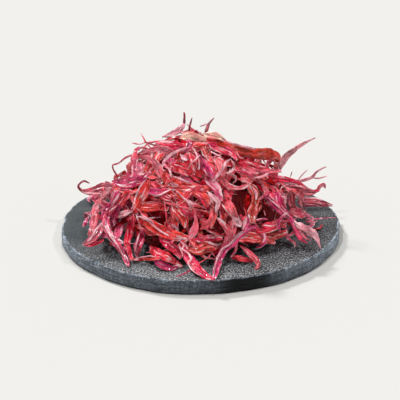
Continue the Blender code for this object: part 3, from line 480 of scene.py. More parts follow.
    ("petal", "", ((231, 159, 2), (234, 166, 2.4), (232, 171, 2.6), (227, 173, 2.4))),
    ("petal", "", ((227, 173, 2), (234, 176, 3), (236, 180, 2), (233, 183, 1.4))),
    ("petal", "", ((254, 178, 1.4), (261, 177, 3), (268, 174, 2.4))),
    ("magenta", "", ((196, 152, 3), (200, 159, 6), (205, 166, 8), (210, 173, 7), (213, 179, 3))),
    ("petal", "", ((192, 147, 2), (196, 153, 2), (199, 161, 1.8), (199, 169, 1.4))),
    ("petal", "", ((200, 155, 1.4), (196, 159, 1.8), (191, 164, 1.4), (188, 169, 1))),
    ("mauve", "", ((186, 139, 5), (190, 143, 7), (187, 149, 5), (180, 151, 3))),
    ("petal", "", ((189, 147, 2.4), (180, 150, 2.8), (172, 154, 3.4), (165, 160, 3), (162, 167, 2))),
    ("petal", "", ((180, 154, 3), (184, 158, 5), (187, 160, 2))),
    ("petal", "", ((166, 166, 1.6), (170, 171, 2.4), (171, 177, 1.8))),
    ("petal", "", ((171, 176, 1.8), (178, 178, 1.6), (185, 181, 1.8), (192, 184, 1.4))),
    ("petal", "", ((170, 183, 3), (174, 185, 5), (178, 186, 3))),
    ("petal", "", ((210, 151, 1), (215, 154, 2), (221, 157, 1.2))),
    ("rose", "", ((140, 203, 1.2), (150, 202.5, 1.6), (160, 202.5, 1.6), (168, 203.5, 1.6), (176, 205.5, 2),
        (186, 208, 2), (196, 209.5, 2), (204, 211, 2), (211, 213, 1.2))),
    ("petal", "", ((177, 190, 1.2), (181, 196, 1.6), (186, 200, 2), (189, 204, 1.6), (191, 210, 1))),
    ("rose", "", ((192, 203, 1), (194, 209, 1.6), (196, 215, 1.6))),
    ("magenta", "thread_right", ((306, 219, 2), (316, 219, 1.8), (326, 218, 1.5), (335, 217.5, 1))),
    ("crimson", "thread_right", ((306, 221, 3), (312, 223, 2.4), (317, 221, 1))),
    ("magenta", "thread_front", ((191, 270, 2), (184, 274, 1.8), (177, 277.5, 1))),
    ("crimson", "", ((212, 253, 1.4), (206, 259, 1.6), (199, 263, 1.2))),
    ("petal", "", ((162, 137, 3), (172, 134, 6), (180, 129, 6), (184, 124, 3.4))),
    ("peach", "", ((180, 138, 6), (189, 136, 9), (198, 138, 8), (206, 140, 4))),
    ("peach", "", ((203, 134, 5), (210, 135, 8), (217, 136, 7), (224, 140, 3))),
)

# Strands that stand out against the background: the same, with how far each is behind the plate's axis
SEEN_STANDING_OUT = (
    ("wine", "hook_left", 4, ((117, 187, 16), (108, 188, 15), (99, 190, 12), (90, 191.5, 8), (83, 191, 4),
        (78.5, 187.5, 2.6), (79.5, 184, 2), (84, 181, 2), (89, 183, 1.4))),
    ("wine", "loop_upper_left", 3, ((152, 151, 5), (142, 154, 3.2), (132, 155, 2.4), (125, 158, 2.2),
        (119, 163, 2), (113, 165, 2.2), (113, 169, 1.8), (116, 174, 2), (118, 180, 2.4))),
    ("wine", "loop_upper_left", 3, ((140, 157, 2), (137, 164, 2), (134, 170, 3.4), (133, 177, 5))),
    ("wine", "loop_upper_left", 3, ((140, 167, 2), (146, 170, 3.4), (152, 167, 2.6), (156, 161, 3))),
    ("wine", "twig_upper_left", 0, ((132, 143, 2), (140, 144, 1.8), (146, 142.5, 1.6), (152, 144.5, 1.8),
        (160, 147, 2), (168, 150, 2), (175, 153, 1.5))),
    ("wine", "spike_top_left", 3, ((181, 127, 3), (184, 123, 3), (184.5, 116, 2.4), (183.5, 109, 1))),
    ("wine", "spike_top_middle", 3, ((189, 133, 2.6), (190, 125, 2.4), (192, 118, 1))),
    ("faded", "fork_top", 1, ((205, 135, 4), (207, 128, 4), (210, 122.5, 2.4), (214, 118, 1))),
    ("faded", "fork_top", 1, ((209, 123, 1.6), (204, 125, 1.5), (200, 126.5, 1))),
    ("faded", "spire_right", 6, ((275, 173, 6), (280, 165, 7), (287, 156, 6.4), (294, 150, 5),
        (302, 144.5, 3.4), (309, 140.5, 2.2), (315, 138, 1))),
    ("faded", "twig_right", 4, ((284, 183, 5), (295, 182, 4.4), (304, 180, 3.2), (312, 177, 3.2),
        (316, 172.5, 2.2), (321, 169, 1.7), (326, 167, 1))),
    ("faded", "twig_right", 4, ((312, 178, 2.6), (320, 178, 1.6), (327, 176, 1))),
    ("faded", "twig_right", 4, ((298, 180, 2), (302, 175, 1.6), (307, 170, 1))),
    ("faded", "twig_right", 4, ((290, 178, 1.6), (292, 172, 1))),
    ("plum", "leaf_right_curled", -4, ((284, 188, 7), (294, 189.5, 9), (303, 191, 9), (311, 192.5, 6),
        (317, 190.5, 3.4), (320, 186.5, 4), (324, 184.5, 3.4), (325, 188, 1.6))),
    ("crimson", "leaf_right_curled", -5, ((258, 180, 5), (268, 179, 8), (280, 179, 7), (292, 180.5, 4.6),
        (301, 184, 3), (307, 188, 2), (313, 190.5, 1.6), (319, 191, 1.6))),
    ("wine", "leaf_back_right", 12, ((298, 203, 7), (310, 202, 10), (321, 203, 8), (332, 205.5, 2.4))),
)

# The heap's outline in the photograph, which strands that only the scene has stay within
SEEN_OUTLINE = (
    (84, 194), (98, 186), (112, 180), (127, 174), (136, 165), (146, 154), (158, 144), (170, 137),
    (185, 134), (205, 134), (222, 140), (238, 147), (256, 151), (271, 153), (279, 160), (283, 174),
    (300, 184), (314, 194), (306, 204), (304, 216), (312, 232), (318, 243), (300, 240), (280, 242),
    (262, 252), (256, 264), (236, 262), (222, 262), (214, 278), (200, 276), (186, 266), (166, 270),
    (148, 262), (130, 264), (118, 250), (104, 244), (84, 245), (92, 228), (93, 208), (96, 198),
)


def mound_outline():
    """Arc length from the apex, radius, height over the plate and slope along the mound's outline."""
    arc = np.arange(0.0, ARC_END, ARC_STEP)
    rise = np.clip(arc / DOME_ARC, 0, 1)
    fall = np.clip((arc - DOME_ARC - STEEP_ARC) / FOOT_ARC, 0, 1)
    slope = STEEPEST * (rise - fall * fall * (3 - 2 * fall))
    radius = (np.cumsum(np.cos(slope)) - math.cos(slope[0])) * ARC_STEP
    drop = np.cumsum(np.sin(slope)) * ARC_STEP
    return arc, radius, drop[-1] - drop, slope


ARC, RADIUS, HEIGHT, SLOPE = mound_outline()


def ground(chart):
    """The mound's points and outward normals at chart points. A chart point is flat and polar: its distance
    from the chart's origin is the arc length from the apex, and its direction is the azimuth."""
    arc = np.hypot(chart[:, 0], chart[:, 1])
    out = chart / np.maximum(arc, TINY)[:, None]
    radius, height, slope = (np.interp(arc, ARC, column) for column in (RADIUS, HEIGHT, SLOPE))
    feet = np.column_stack([out * radius[:, None], height])
    normals = np.column_stack([out * np.sin(slope)[:, None], np.cos(slope)])
    return feet, normals


def charted(points):
    """The chart points under points in space, and their heights over the mound."""
    across = np.hypot(points[:, 0], points[:, 1])
    aside = across[:, None] - RADIUS
    above = points[:, 2][:, None] - HEIGHT
    nearest = np.argmin(aside * aside + above * above, axis=1)
    rows = np.arange(len(points))
    slope = SLOPE[nearest]
    along = aside[rows, nearest] * np.cos(slope) - above[rows, nearest] * np.sin(slope)
    height = aside[rows, nearest] * np.sin(slope) + above[rows, nearest] * np.cos(slope)
    arc = np.maximum(ARC[nearest] + along, 0.0)
    out = points[:, :2] / np.maximum(across, TINY)[:, None]
    return out * arc[:, None], height


def walk(rng, start, heading, length, curl, wander, half_width):
    """A path over the mound, as chart points STEP apart and the heading at each. It keeps turning by curl
    and wanders, both in degrees a millimetre, and turns back before the plate's rim."""
    x, y = start
    sway = 0.0
    points, headings = [(x, y)], [heading]
    for _ in range(max(STEPS_PER_KNOT, round(length / KNOT_GAP) * STEPS_PER_KNOT)):
        arc = math.hypot(x, y)
        radius = float(np.interp(arc, ARC, RADIUS))
        azimuth = math.atan2(y, x)
        stretch = arc / radius if radius > 1 else 1.0
        outward = math.cos(heading - azimuth) * STEP
        around = math.sin(heading - azimuth) * STEP * stretch
        x += outward * math.cos(azimuth) - around * math.sin(azimuth)
        y += outward * math.sin(azimuth) + around * math.cos(azimuth)
        sway = SWAY_KEPT * sway + wander * rng.gauss(0, 1)
        turn = math.radians(curl + sway) * STEP
        if radius > REACH_LIMIT and outward > 0:
            turn += math.copysign(TURN_BACK, math.sin(heading - azimuth))
        sharpest = STEP / (TIGHTEST_TURN + 2.0 * half_width)
        heading += min(max(turn, -sharpest), sharpest)
        points.append((x, y))
        headings.append(heading)
    return points, headings


class Frond:
    """Knots in the chart, their heights over the mound, and the branches that join them."""

    def __init__(self, name, colour):
        self.name, self.colour = name, colour
        self.chart, self.height, self.lift = [], [], []
        self.branches = []

    def add_branch(self, chart, half_width, twist=(0.0, 0.0), parent_knot=None, heights=None, lift=0.0,
                   fullness=0.0):
        """A branch over new knots, or from parent_knot over new ones, whose last knot is its tip. The tip
        stands lift higher than what the branch lies on."""
        first = len(self.chart)
        knots = list(range(first, first + len(chart)))
        self.chart += [tuple(place) for place in chart]
        self.height += [0.0] * len(chart) if heights is None else list(heights)
        self.lift += [lift * max(0.0, 3 - len(chart) + i) ** 2 / 4 for i in range(len(chart))]
        if parent_knot is not None:
            knots.insert(0, parent_knot)
        self.branches.append(Branch(knots, half_width, twist, parent_knot is not None, fullness))
        return self.branches[-1]


class Branch:
    """One unforked stretch of a frond: its knots, and its half width, half thickness and twist at each. Its
    fullness runs from 0, a flat strap, to 1, a round tube."""

    def __init__(self, knots, half_width, twist, forked, fullness):
        self.knots, self.forked, self.widest = knots, forked, half_width
        share = np.linspace(0, 1, len(knots))
        swell = SWELL[0] + SWELL[1] * np.sin(math.pi * share ** 0.8)
        taper = np.clip((1 - share) / TAPER, 0, 1) ** 0.75
        start = ROOTS[forked]
        root = start + (1 - start) * np.clip(share / 0.2, 0, 1)
        self.half_width = np.maximum(half_width * swell * taper * root, THINNEST[0])
        flat = min(FLATNESS[0] + FLATNESS[1] * half_width, ROUND * half_width)
        thick = flat + (ROUND * half_width - flat) * fullness
        self.half_thick = np.maximum(np.minimum(thick * taper ** 0.5, 0.95 * self.half_width), THINNEST[1])
        self.twist = twist[0] + (twist[1] - twist[0]) * share


def placed(frond):
    """The frond's knots in space, over the mound, and the mound's normals there."""
    feet, normals = ground(np.array(frond.chart))
    return feet + normals * np.array(frond.height)[:, None], normals


def sections(frond, branch, points, normals):
    """At each knot of a branch: its place, and the unit vectors along its width and its thickness."""
    path = points[branch.knots]
    tangent = np.gradient(path, axis=0)
    tangent /= np.linalg.norm(tangent, axis=1)[:, None]
    side = np.empty_like(path)
    before = None
    for i, along in enumerate(tangent):
        across = np.cross(along, normals[branch.knots[i]])
        if np.linalg.norm(across) < 0.35:
            across = before if before is not None else np.cross(along, (0.3, 0.8, 0.5))
        across = across - along * np.dot(across, along)
        before = across / np.linalg.norm(across)
        side[i] = before
    over = np.cross(side, tangent)
    turn = branch.twist[:, None]
    return path, side * np.cos(turn) + over * np.sin(turn), over * np.cos(turn) - side * np.sin(turn)


def samples(frond, branches=None):
    """Points through the frond's branches, or some of them, with the local half thickness at each and the two
    knots that it lies between."""
    points, normals = placed(frond)
    spots, radii, knots = [], [], []
    for branch in branches or frond.branches:
        path, side, _ = sections(frond, branch, points, normals)
        for i in range(len(path) - 1):
            count = max(2, math.ceil(np.linalg.norm(path[i + 1] - path[i]) / SAMPLE_GAP))
            for share in (np.arange(count) + 0.5) / count:
                width = branch.half_width[i] * (1 - share) + branch.half_width[i + 1] * share
                thick = branch.half_thick[i] * (1 - share) + branch.half_thick[i + 1] * share
                middle = path[i] * (1 - share) + path[i + 1] * share
                across = side[i] * (1 - share) + side[i + 1] * share
                rows = 1 + 2 * math.ceil(max(width - 0.45, 0) / SAMPLE_GAP)
                for place in np.linspace(-1, 1, rows) if rows > 1 else (0.0,):
                    spots.append(middle + across * width * place)
                    radii.append(thick * (1 - 0.45 * abs(place)) if rows > 1 else max(thick, 0.8 * width))
                    knots.append((branch.knots[i], branch.knots[i + 1]))
    return np.array(spots), np.array(radii), np.array(knots)


class Laid:
    """Sample points of what is already laid, with their radii and owners, the mound's points under them and
    their heights over it."""

    def __init__(self):
        self.spots, self.feet = np.zeros((0, 3)), np.zeros((0, 3))
        self.radii, self.middles, self.owners = np.zeros(0), np.zeros(0), np.zeros(0, int)

    def add(self, frond, owner, branches=None):
        spots, radii, _ = samples(frond, branches)
        chart, height = charted(spots)
        self.spots = np.vstack([self.spots, spots])
        self.feet = np.vstack([self.feet, ground(chart)[0]])
        self.radii = np.concatenate([self.radii, radii])
        self.middles = np.concatenate([self.middles, height])
        self.owners = np.concatenate([self.owners, np.full(len(spots), owner)])

    def top_near(self, feet, reach, below=None):
        """The highest upper side within reach of each foot, and 0 where there is none. Where below is
        given, what lies wholly above that height doesn't count."""
        low, high = feet.min(0) - np.max(reach), feet.max(0) + np.max(reach)
        near = np.all((self.feet > low) & (self.feet < high), axis=1)
        if not near.any():
            return np.zeros(len(feet))
        there, middles, radii = self.feet[near], self.middles[near], self.radii[near]
        apart = (feet ** 2).sum(1)[:, None] + (there ** 2).sum(1) - 2 * feet @ there.T
        counts = apart < (np.zeros(len(feet)) + reach)[:, None] ** 2
        if below is not None:
            counts &= (middles - radii) < below[:, None]
        return np.where(counts, middles + radii, 0.0).max(1)

    def is_clear(self, spots, radii, owner, margin):
        """Whether balls at these spots stay margin away from every sample that isn't the owner's."""
        low, high = spots.min(0) - 4, spots.max(0) + 4
        near = np.all((self.spots > low) & (self.spots < high), axis=1) & (self.owners != owner)
        if not near.any():
            return True
        apart = np.linalg.norm(spots[:, None] - self.spots[near], axis=2)
        return bool((apart - radii[:, None] - self.radii[near] > margin).all())


def settle(frond, laid, clearance, passes_under=False):
    """Raises the frond's knots until it lies over everything laid before it and clear of the plate, and
    bridges narrow dips. One that passes under only clears what its own height meets. Returns what it
    still lacks."""
    given = np.array(frond.height)
    raised = np.zeros(len(given))
    for branch in frond.branches:
        feet, _ = ground(np.array([frond.chart[k] for k in branch.knots]))
        lean = np.abs(np.sin(branch.twist))
        stand = branch.half_thick + (branch.half_width - branch.half_thick) * lean
        below = given[branch.knots] + stand + clearance if passes_under else None
        floor = laid.top_near(feet, 0.6 * branch.half_width + 0.8, below) + stand + clearance
        np.maximum.at(raised, branch.knots, floor - given[branch.knots])
    raised += frond.lift
    for _ in range(STIFFNESS):
        for branch in frond.branches:
            for before, knot, after in zip(branch.knots, branch.knots[1:], branch.knots[2:]):
                raised[knot] = max(raised[knot], (raised[before] + 2 * raised[knot] + raised[after]) / 4)
    for _ in range(RAISES):
        frond.height = list(given + raised)
        spots, radii, knots = samples(frond)
        chart, height = charted(spots)
        below = height + radii + clearance if passes_under else None
        lack = laid.top_near(ground(chart)[0], SAMPLE_REACH, below) + clearance + radii - height
        lack = np.maximum(lack, PLATE_GAP + radii - spots[:, 2])
        if lack.max() < ENOUGH:
            break
        more = np.zeros(len(given))
        for end in (0, 1):
            np.maximum.at(more, knots[:, end], np.maximum(lack, 0))
        raised += more
    return float(lack.max())


def splined(values, parts):
    """Rows along a smooth curve through the given rows, with each gap in equal parts."""
    given = np.asarray(values, float)
    if given.ndim == 1:
        given = given[:, None]
    padded = np.vstack([2 * given[0] - given[1], given, 2 * given[-1] - given[-2]])
    share = np.linspace(0, 1, parts, endpoint=False)[:, None]
    dense = []
    for a, b, c, d in zip(padded, padded[1:], padded[2:], padded[3:]):
        dense.append(b + (c - a) / 2 * share + (a - 2.5 * b + 2 * c - d / 2) * share ** 2
                     + (1.5 * b - a / 2 - 1.5 * c + d / 2) * share ** 3)
    return np.vstack(dense + [given[-1:]])


def length_along(path):
    """The length of a path up to each of its points."""
    return np.concatenate([[0], np.cumsum(np.linalg.norm(np.diff(path, axis=0), axis=1))])


def smooth_line(points):
    """Points KNOT_GAP apart along a smooth curve through the given ones."""
    dense = splined(points, CURVE_PARTS)
    run = length_along(dense)
    even = np.linspace(0, run[-1], max(2, round(run[-1] / KNOT_GAP)) + 1)
    return np.column_stack([np.interp(even, run, column) for column in dense.T])


def traced(name, colour, half_width, line, forks=(), fullness=0.0):
    """A frond along a smooth curve through points of the plate's frame. Each fork is a line that starts at
    the nearest knot of the main axis, and its half width."""
    frond = Frond(name, colour)
    for points, width in [(line, half_width), *forks]:
        run = smooth_line(points) - (0, 0, PLATE_THICKNESS)
        parent = None
        if frond.branches:
            main = frond.branches[0].knots[:-1]
            parent = main[int(np.argmin(np.linalg.norm(placed(frond)[0][main] - run[0], axis=1)))]
            run = run[1:]
        chart, heights = charted(run)
        frond.add_branch(chart, width, (0, 0), parent, heights, fullness=fullness)
    return frond


def grown(rng, name, colour, start, heading, length, half_width, forks, lift):
    """A frond that lies over the mound: a main axis that wanders, and forks to alternate sides."""
    frond = Frond(name, colour)
    curl = rng.uniform(-2.2, 2.2)
    path, headings = walk(rng, start, heading, length, curl, 1.6, half_width)
    twist = rng.uniform(-0.5, 0.5)
    twists = twist, twist + rng.uniform(-0.8, 0.8)
    main = frond.add_branch(path[::STEPS_PER_KNOT], half_width, twists, lift=lift * rng.random())
    last = len(main.knots) - 2
    spread = max(1.0, (last - 1) / max(forks, 1))
    side = rng.choice((-1, 1))
    for i in range(forks):
        at = min(last, 1 + int(spread * (i + rng.uniform(0.2, 0.9))))
        step = at * STEPS_PER_KNOT
        fork(rng, frond, main, at, path[step], headings[step], side, lift, True)
        side = -side
    return frond


def fork(rng, frond, parent, at, start, heading, side, lift, again):
    """A side branch from one of the parent's knots, which may fork again."""
    bend = side * rng.uniform(0.45, 1.0)
    length = KNOT_GAP * rng.choice((2, 3, 3, 4))
    half_width = 0.82 * min(parent.half_width[at] * 1.05, parent.widest)
    half_width = max(half_width, 0.45)
    path, headings = walk(rng, start, heading + bend, length, -side * rng.uniform(0, 3.0), 1.8, half_width)
    twists = parent.twist[at], parent.twist[at] + rng.uniform(-0.6, 0.6)
    branch = frond.add_branch(
        path[STEPS_PER_KNOT::STEPS_PER_KNOT], half_width, twists, parent.knots[at], lift=lift * rng.random()
    )
    if again and len(branch.knots) > 3 and rng.random() < 0.55:
        fork(rng, frond, branch, 1, path[STEPS_PER_KNOT], headings[STEPS_PER_KNOT], -side, lift, False)


def spread_points(rng, count, reach):
    """Chart points spread evenly over the mound in a spiral, each moved a little."""
    golden = math.pi * (3 - math.sqrt(5))
    found = []
    for i in range(count):
        arc = reach * math.sqrt((i + 0.5) / count)
        azimuth = i * golden + rng.uniform(-0.4, 0.4)
        found.append((arc * math.cos(azimuth), arc * math.sin(azimuth)))
    return found


def add_spurs(rng, frond, owner, laid, count):
    """Short pointed side branches that stand out of a laid frond, wherever they clear the others."""
    points, normals = placed(frond)
    for _ in range(count * SPUR_TRIES):
        branch = rng.choice(frond.branches)
        at = rng.randrange(0, len(branch.knots) - 1)
        length = rng.uniform(*SPUR_LENGTH)
        half_width = min(SPUR_HALF_WIDTH, 0.62 * branch.half_width[at])
        _, side, _ = sections(frond, branch, points, normals)
        knot = branch.knots[at]
        along = points[branch.knots[at + 1]] - points[knot]
        along /= np.linalg.norm(along)
        out = normals[knot] * rng.uniform(0.25, 1.0)
        out += side[at] * rng.choice((-1, 1)) * rng.uniform(0.4, 1.0)
        out += along * rng.uniform(-0.2, 0.7)
        out /= np.linalg.norm(out)
        bend = normals[knot] * rng.uniform(-0.15, 0.35) + along * rng.uniform(-0.3, 0.3)
        share = np.array([0.5, 1.0])[:, None]
        run = points[knot] + (out * share + bend * share ** 2) * length
        probe = points[knot] + (out * np.linspace(0.2, 1, 6)[:, None]
                                + bend * np.linspace(0.2, 1, 6)[:, None] ** 2) * length
        if not laid.is_clear(probe, np.full(6, half_width), owner, CLEARANCE) or probe[:, 2].min() < 1:
            continue
        chart, heights = charted(run)
        spur = frond.add_branch(chart, half_width, (0, 0), knot, heights)
        laid.add(frond, owner, [spur])
        points, normals = placed(frond)
        count -= 1
        if count == 0:
            return


def fronds_on_the_plate():
    """The straps, threads and bunches whose ends lie on the slate, from left to right."""
    return [
        traced("strand_left_down", "magenta", 1.8,
               [(-30, -12, 26), (-38, -8, 20), (-43, -10, 16), (-45, -15, 10), (-48, -24, 7)]),
        traced("bunch_left", "crimson", 1.6,
               [(-31, -21, 14), (-37, -24, 10), (-43, -27, 8), (-49, -26, 7)],
               [([(-40, -25, 9), (-44, -22, 9), (-48, -20, 8)], 0.9)]),
        traced("strap_left_long", "mauve", 2.1,
               [(-30, -17, 24), (-35, -16, 18), (-38, -18, 13), (-36, -27, 10), (-31, -38, 8),
                (-27, -47, 7)]),
        traced("strap_left_inner", "crimson", 1.9,
               [(-20, -18, 33), (-24, -22, 26), (-27, -24, 18), (-29, -28, 12), (-29, -37, 8),
                (-26, -45, 7)]),
        traced("strap_left_short", "rose", 1.9,
               [(-18, -29, 23), (-21, -31, 17), (-23, -33, 12), (-25, -39, 7)]),
        traced("bunch_front", "crimson", 1.7,
               [(-21, -31, 16), (-19, -37, 11), (-16, -43, 8), (-12, -48, 7)],
               [([(-16, -42, 9), (-11, -42, 9), (-7, -43, 8)], 1.1)]),
        traced("thread_front", "magenta", 0.6, [(-2, -45, 9), (-5, -52, 7), (-9, -56, 7)]),
        traced("strap_front", "crimson", 2.1,
               [(-11, -35, 18), (-9, -38, 14), (-6, -44, 10), (-2, -52, 8), (3, -58, 7)]),
        traced("strap_front_right", "magenta", 1.8,
               [(24, -27, 21), (19, -31, 18), (13, -36, 15), (9, -41, 11), (7, -49, 8), (5, -57, 7)]),
        traced("claw_front_right", "crimson", 1.7,
               [(11, -37, 13), (16, -40, 9), (21, -41, 8), (23, -46, 8), (22, -50, 7)],
               [([(15, -40, 10), (13, -43, 8), (12, -46, 7)], 0.8)]),
        traced("sac_right", "rose", 2.7,
               [(30, -20, 19), (36, -20, 14), (41, -23, 12), (45, -27, 12), (48, -30, 10), (50, -32, 8)],
               [([(40, -22, 13), (40, -27, 10), (42, -30, 8)], 1.0)], fullness=0.7),
        traced("thread_right", "magenta", 0.6, [(42, -8, 9), (48, -5, 7), (57, 0, 7)]),
        traced("leaf_back_right", "crimson", 1.7, [(40, 5, 15), (46, 11, 10), (51, 16, 8), (57, 18, 8)]),
    ]


def fronds_standing_out():
    """The ends that stand out of the heap, from left to right."""
    return [
        traced("hook_left", "mauve", 2.3,
               [(-21, 0, 28), (-30, 2, 25), (-39, 4, 21), (-46, 4, 18), (-52, 4, 18), (-54, 4, 21),
                (-50, 4, 23)]),
        traced("loop_upper_left", "mauve", 1.3,
               [(-10, 2, 39), (-21, 4, 37), (-31, 4, 35), (-36, 4, 32), (-38, 2, 28), (-37, 0, 24)],
               [([(-26, 4, 36), (-28, 3, 31), (-29, 0, 27)], 0.8)]),
        traced("twig_upper_left", "crimson", 0.9,
               [(-6, -4, 38), (-14, -2, 40), (-20, 0, 41), (-26, 2, 41), (-30, 4, 40)]),
        traced("spike_top_left", "mauve", 1.3,
               [(-16, 0, 41), (-11, 2, 44), (-8, 3, 47), (-7, 4, 54)]),
        traced("spike_top_middle", "rose", 0.8, [(-3, -4, 40), (-5, 0, 42), (-5, 3, 45), (-4, 5, 50)]),
        traced("fork_top", "rose", 1.1, [(0, -7, 39), (2, -3, 43), (3, 0, 47), (4, 0, 50), (6, 0, 53)],
               [([(4, 0, 50), (2, 0, 49), (0, 0, 48)], 0.6)]),
        traced("tube_top_right", "crimson", 2.3,
               [(5, 4, 42), (14, 3, 41), (24, 2, 39), (31, 1, 37), (35, -1, 35), (35, -4, 32)],
               fullness=0.8),
        traced("spire_right", "rose", 1.7,
               [(25, 1, 25), (30, 3, 27), (35, 6, 33), (42, 8, 37), (50, 10, 40)]),
        traced("twig_right", "rose", 1.2,
               [(25, 0, 29), (35, 2, 25), (41, 3, 24), (47, 4, 25), (55, 5, 29)],
               [([(47, 4, 25), (51, 4, 24), (55, 4, 25)], 0.7),
                ([(41, 3, 24), (44, 4, 26), (47, 4, 29)], 0.6)]),
        traced("leaf_right_curled", "mauve", 2.4,
               [(23, -8, 28), (32, -8, 26), (40, -8, 24), (47, -8, 23), (51, -8, 24), (53, -9, 27)],
               fullness=0.2),
    ]


def fronds_on_the_front():
    """The broad bands and threads that lie uppermost on the heap's front."""
    return [
        traced("leaf_left_low", "scarlet", 1.9,
               [(-25, -29, 15), (-16, -35, 14), (-10, -39, 13), (-3, -40, 13)]),
        traced("bowl_right", "scarlet", 2.0,
               [(1, -37, 15), (9, -38, 17), (16, -36, 17), (23, -32, 14), (30, -30, 10)]),
        traced("band_centre", "scarlet", 2.2,
               [(-17, -16, 36), (-14, -22, 35), (-9, -27, 32), (-2, -29, 32), (6, -29, 31)],
               [([(-9, -27, 32), (-7, -31, 29), (-7, -34, 25)], 1.4)]),
        traced("band_middle_right", "crimson", 2.2,
               [(9, -26, 33), (13, -31, 27), (16, -34, 20), (18, -35, 14)]),
        traced("curl_right", "scarlet", 1.9,
               [(13, -17, 37), (19, -22, 31), (22, -24, 27), (22, -27, 22), (20, -30, 17), (23, -31, 14)]),
        traced("star_centre", "magenta", 1.3,
               [(-17, -6, 41), (-11, -18, 39), (-6, -26, 36), (-1, -31, 32), (2, -33, 28)],
               [([(-6, -26, 36), (0, -27, 36), (6, -24, 37)], 0.9), ([(-6, -26, 36), (-8, -29, 31)], 0.8)]),
        traced("thread_across", "rose", 0.7,
               [(-30, -18, 25), (-25, -24, 26), (-16, -30, 27), (-6, -34, 27), (5, -36, 25),
                (10, -37, 20)]),
    ]


def colour_at(rng, place):
    """The heap is mauve and magenta at the sides, red and orange in front and palest on top."""
    if place[2] > TOP_COLOURS_ABOVE:
        return rng.choice(("rose", "rose", "scarlet", "crimson"))
    if place[0] < LEFT_COLOURS_BEYOND:
        return rng.choice(("magenta", "mauve", "mauve", "crimson"))
    if place[0] > RIGHT_COLOURS_BEYOND:
        return rng.choice(("magenta", "rose", "crimson", "mauve"))
    return rng.choice(("crimson", "scarlet", "crimson", "rose"))


def heart_strands(rng, laid):
    """The strands at the bottom of the heap, which cross and stick to each other and to what they cover."""
    strands = []
    for start in spread_points(rng, HEART_STRANDS, HEART_REACH):
        heading, length = rng.uniform(0, math.tau), rng.uniform(*HEART_LENGTH)
        half_width = rng.uniform(*HEART_HALF_WIDTH)
        strand = grown(rng, "tangle_heart", "crimson", start, heading, length, half_width, 0, 0)
        settle(strand, laid, -SUNK)
        laid.add(strand, 0)
        strands.append(strand)
    return strands


def easiest_frond(rng, laid, number, start):
    """The frond, of a few that could grow from a place, that has to climb least over what is laid, or none
    where all of them climb too high."""
    best = None
    for _ in range(CANDIDATES):
        heading, length = rng.uniform(0, math.tau), rng.uniform(*GROWN_LENGTH)
        half_width = rng.uniform(*GROWN_HALF_WIDTH)
        forks = rng.choice((2, 3, 3))
        frond = grown(rng, f"frond_{number:02d}", "", start, heading, length, half_width, forks, LIFT)
        lack = settle(frond, laid, CLEARANCE, passes_under=True)
        climb = max(frond.height) + 10 * max(lack - ENOUGH, 0)
        if best is None or climb < best[0]:
            best = climb, frond
    climb, frond = best
    frond.colour = colour_at(rng, placed(frond)[0].mean(0))
    return frond if climb < HIGHEST_CLIMB else None


def tangle():
    """The heap: the heart's strands, then the traced fronds, then those that fill in under and over them,
    and last the spurs. The spared ones, which would stand out of the heap's outline, only make room."""
    rng = random.Random(SEED)
    laid = Laid()
    strands = heart_strands(rng, laid)
    fronds = []
    for frond in fronds_on_the_plate() + fronds_standing_out() + fronds_on_the_front():
        settle(frond, laid, CLEARANCE, passes_under=True)
        fronds.append(frond)
        laid.add(frond, len(fronds))
    for number, (x, y) in enumerate(spread_points(rng, GROWN_FRONDS, GROWN_REACH), 1):
        frond = easiest_frond(rng, laid, number, (x, y + GROWN_BACKWARD))
        if frond:
            fronds.append(frond)
            laid.add(frond, len(fronds))
    for owner, frond in enumerate(fronds, 1):
        add_spurs(rng, frond, owner, laid, SPURS)
    return strands, [frond for frond in fronds if frond.name not in SPARED], laid


class Wave:
    """A smooth random function of the length run, from about -1 to 1, for each of several wavelengths."""

    def __init__(self, rng):
        self.rng = rng

    def __call__(self, run, wavelength):
        total = np.zeros(len(run))
        for share, weight in WAVES:
            phase = self.rng.uniform(0, math.tau)
            total += weight * np.sin(math.tau * run / (wavelength * share) + phase)
        return total


class Weave:
    """Gathers strands into one mesh, with the colour of each point and how near a thin edge it is."""

    def __init__(self):
        self.points, self.faces, self.tints, self.rims, self.lies = [], [], [], [], []
        self.count = 0

    def add(self, points, faces, tints, rims, lies=None):
        self.points.append(points)
        self.faces += [tuple(index + self.count for index in face) for face in faces]
        self.tints.append(tints)
        self.rims.append(rims)
        self.lies.append(points if lies is None else lies)
        self.count += len(points)

    def piece(self, name, material, slot, *replaced):
        """The gathered strands as a piece of the scene."""
        mesh = bpy.data.meshes.new(name)
        points = (np.vstack(self.points) + (0, 0, PLATE_THICKNESS)) * MILLIMETRE
        points = np.clip(points, *cad_box)
        mesh.from_pydata(points.tolist(), [], self.faces)
        mesh.shade_smooth()
        mesh.set_sharp_from_angle(angle=CREASE_ANGLE)
        colours = mesh.attributes.new("tint", "FLOAT_COLOR", "POINT")
        tints = np.column_stack([np.vstack(self.tints), np.ones(self.count)])
        colours.data.foreach_set("color", tints.astype(np.float32).ravel())
        rim = mesh.attributes.new("rim", "FLOAT", "POINT")
        rim.data.foreach_set("value", np.concatenate(self.rims).astype(np.float32))
        lie = mesh.attributes.new("lie", "FLOAT_VECTOR", "POINT")
        lie.data.foreach_set("vector", np.vstack(self.lies).astype(np.float32).ravel())
        mesh.materials.append(material)
        made = bpy.data.objects.new(name, mesh)
        bpy.context.scene.collection.objects.link(made)
        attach(made, "root")
        if replaced:
            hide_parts(*replaced)


def unit(rows):
    """The rows, each at length 1."""
    return rows / np.maximum(np.linalg.norm(rows, axis=-1, keepdims=True), TINY)


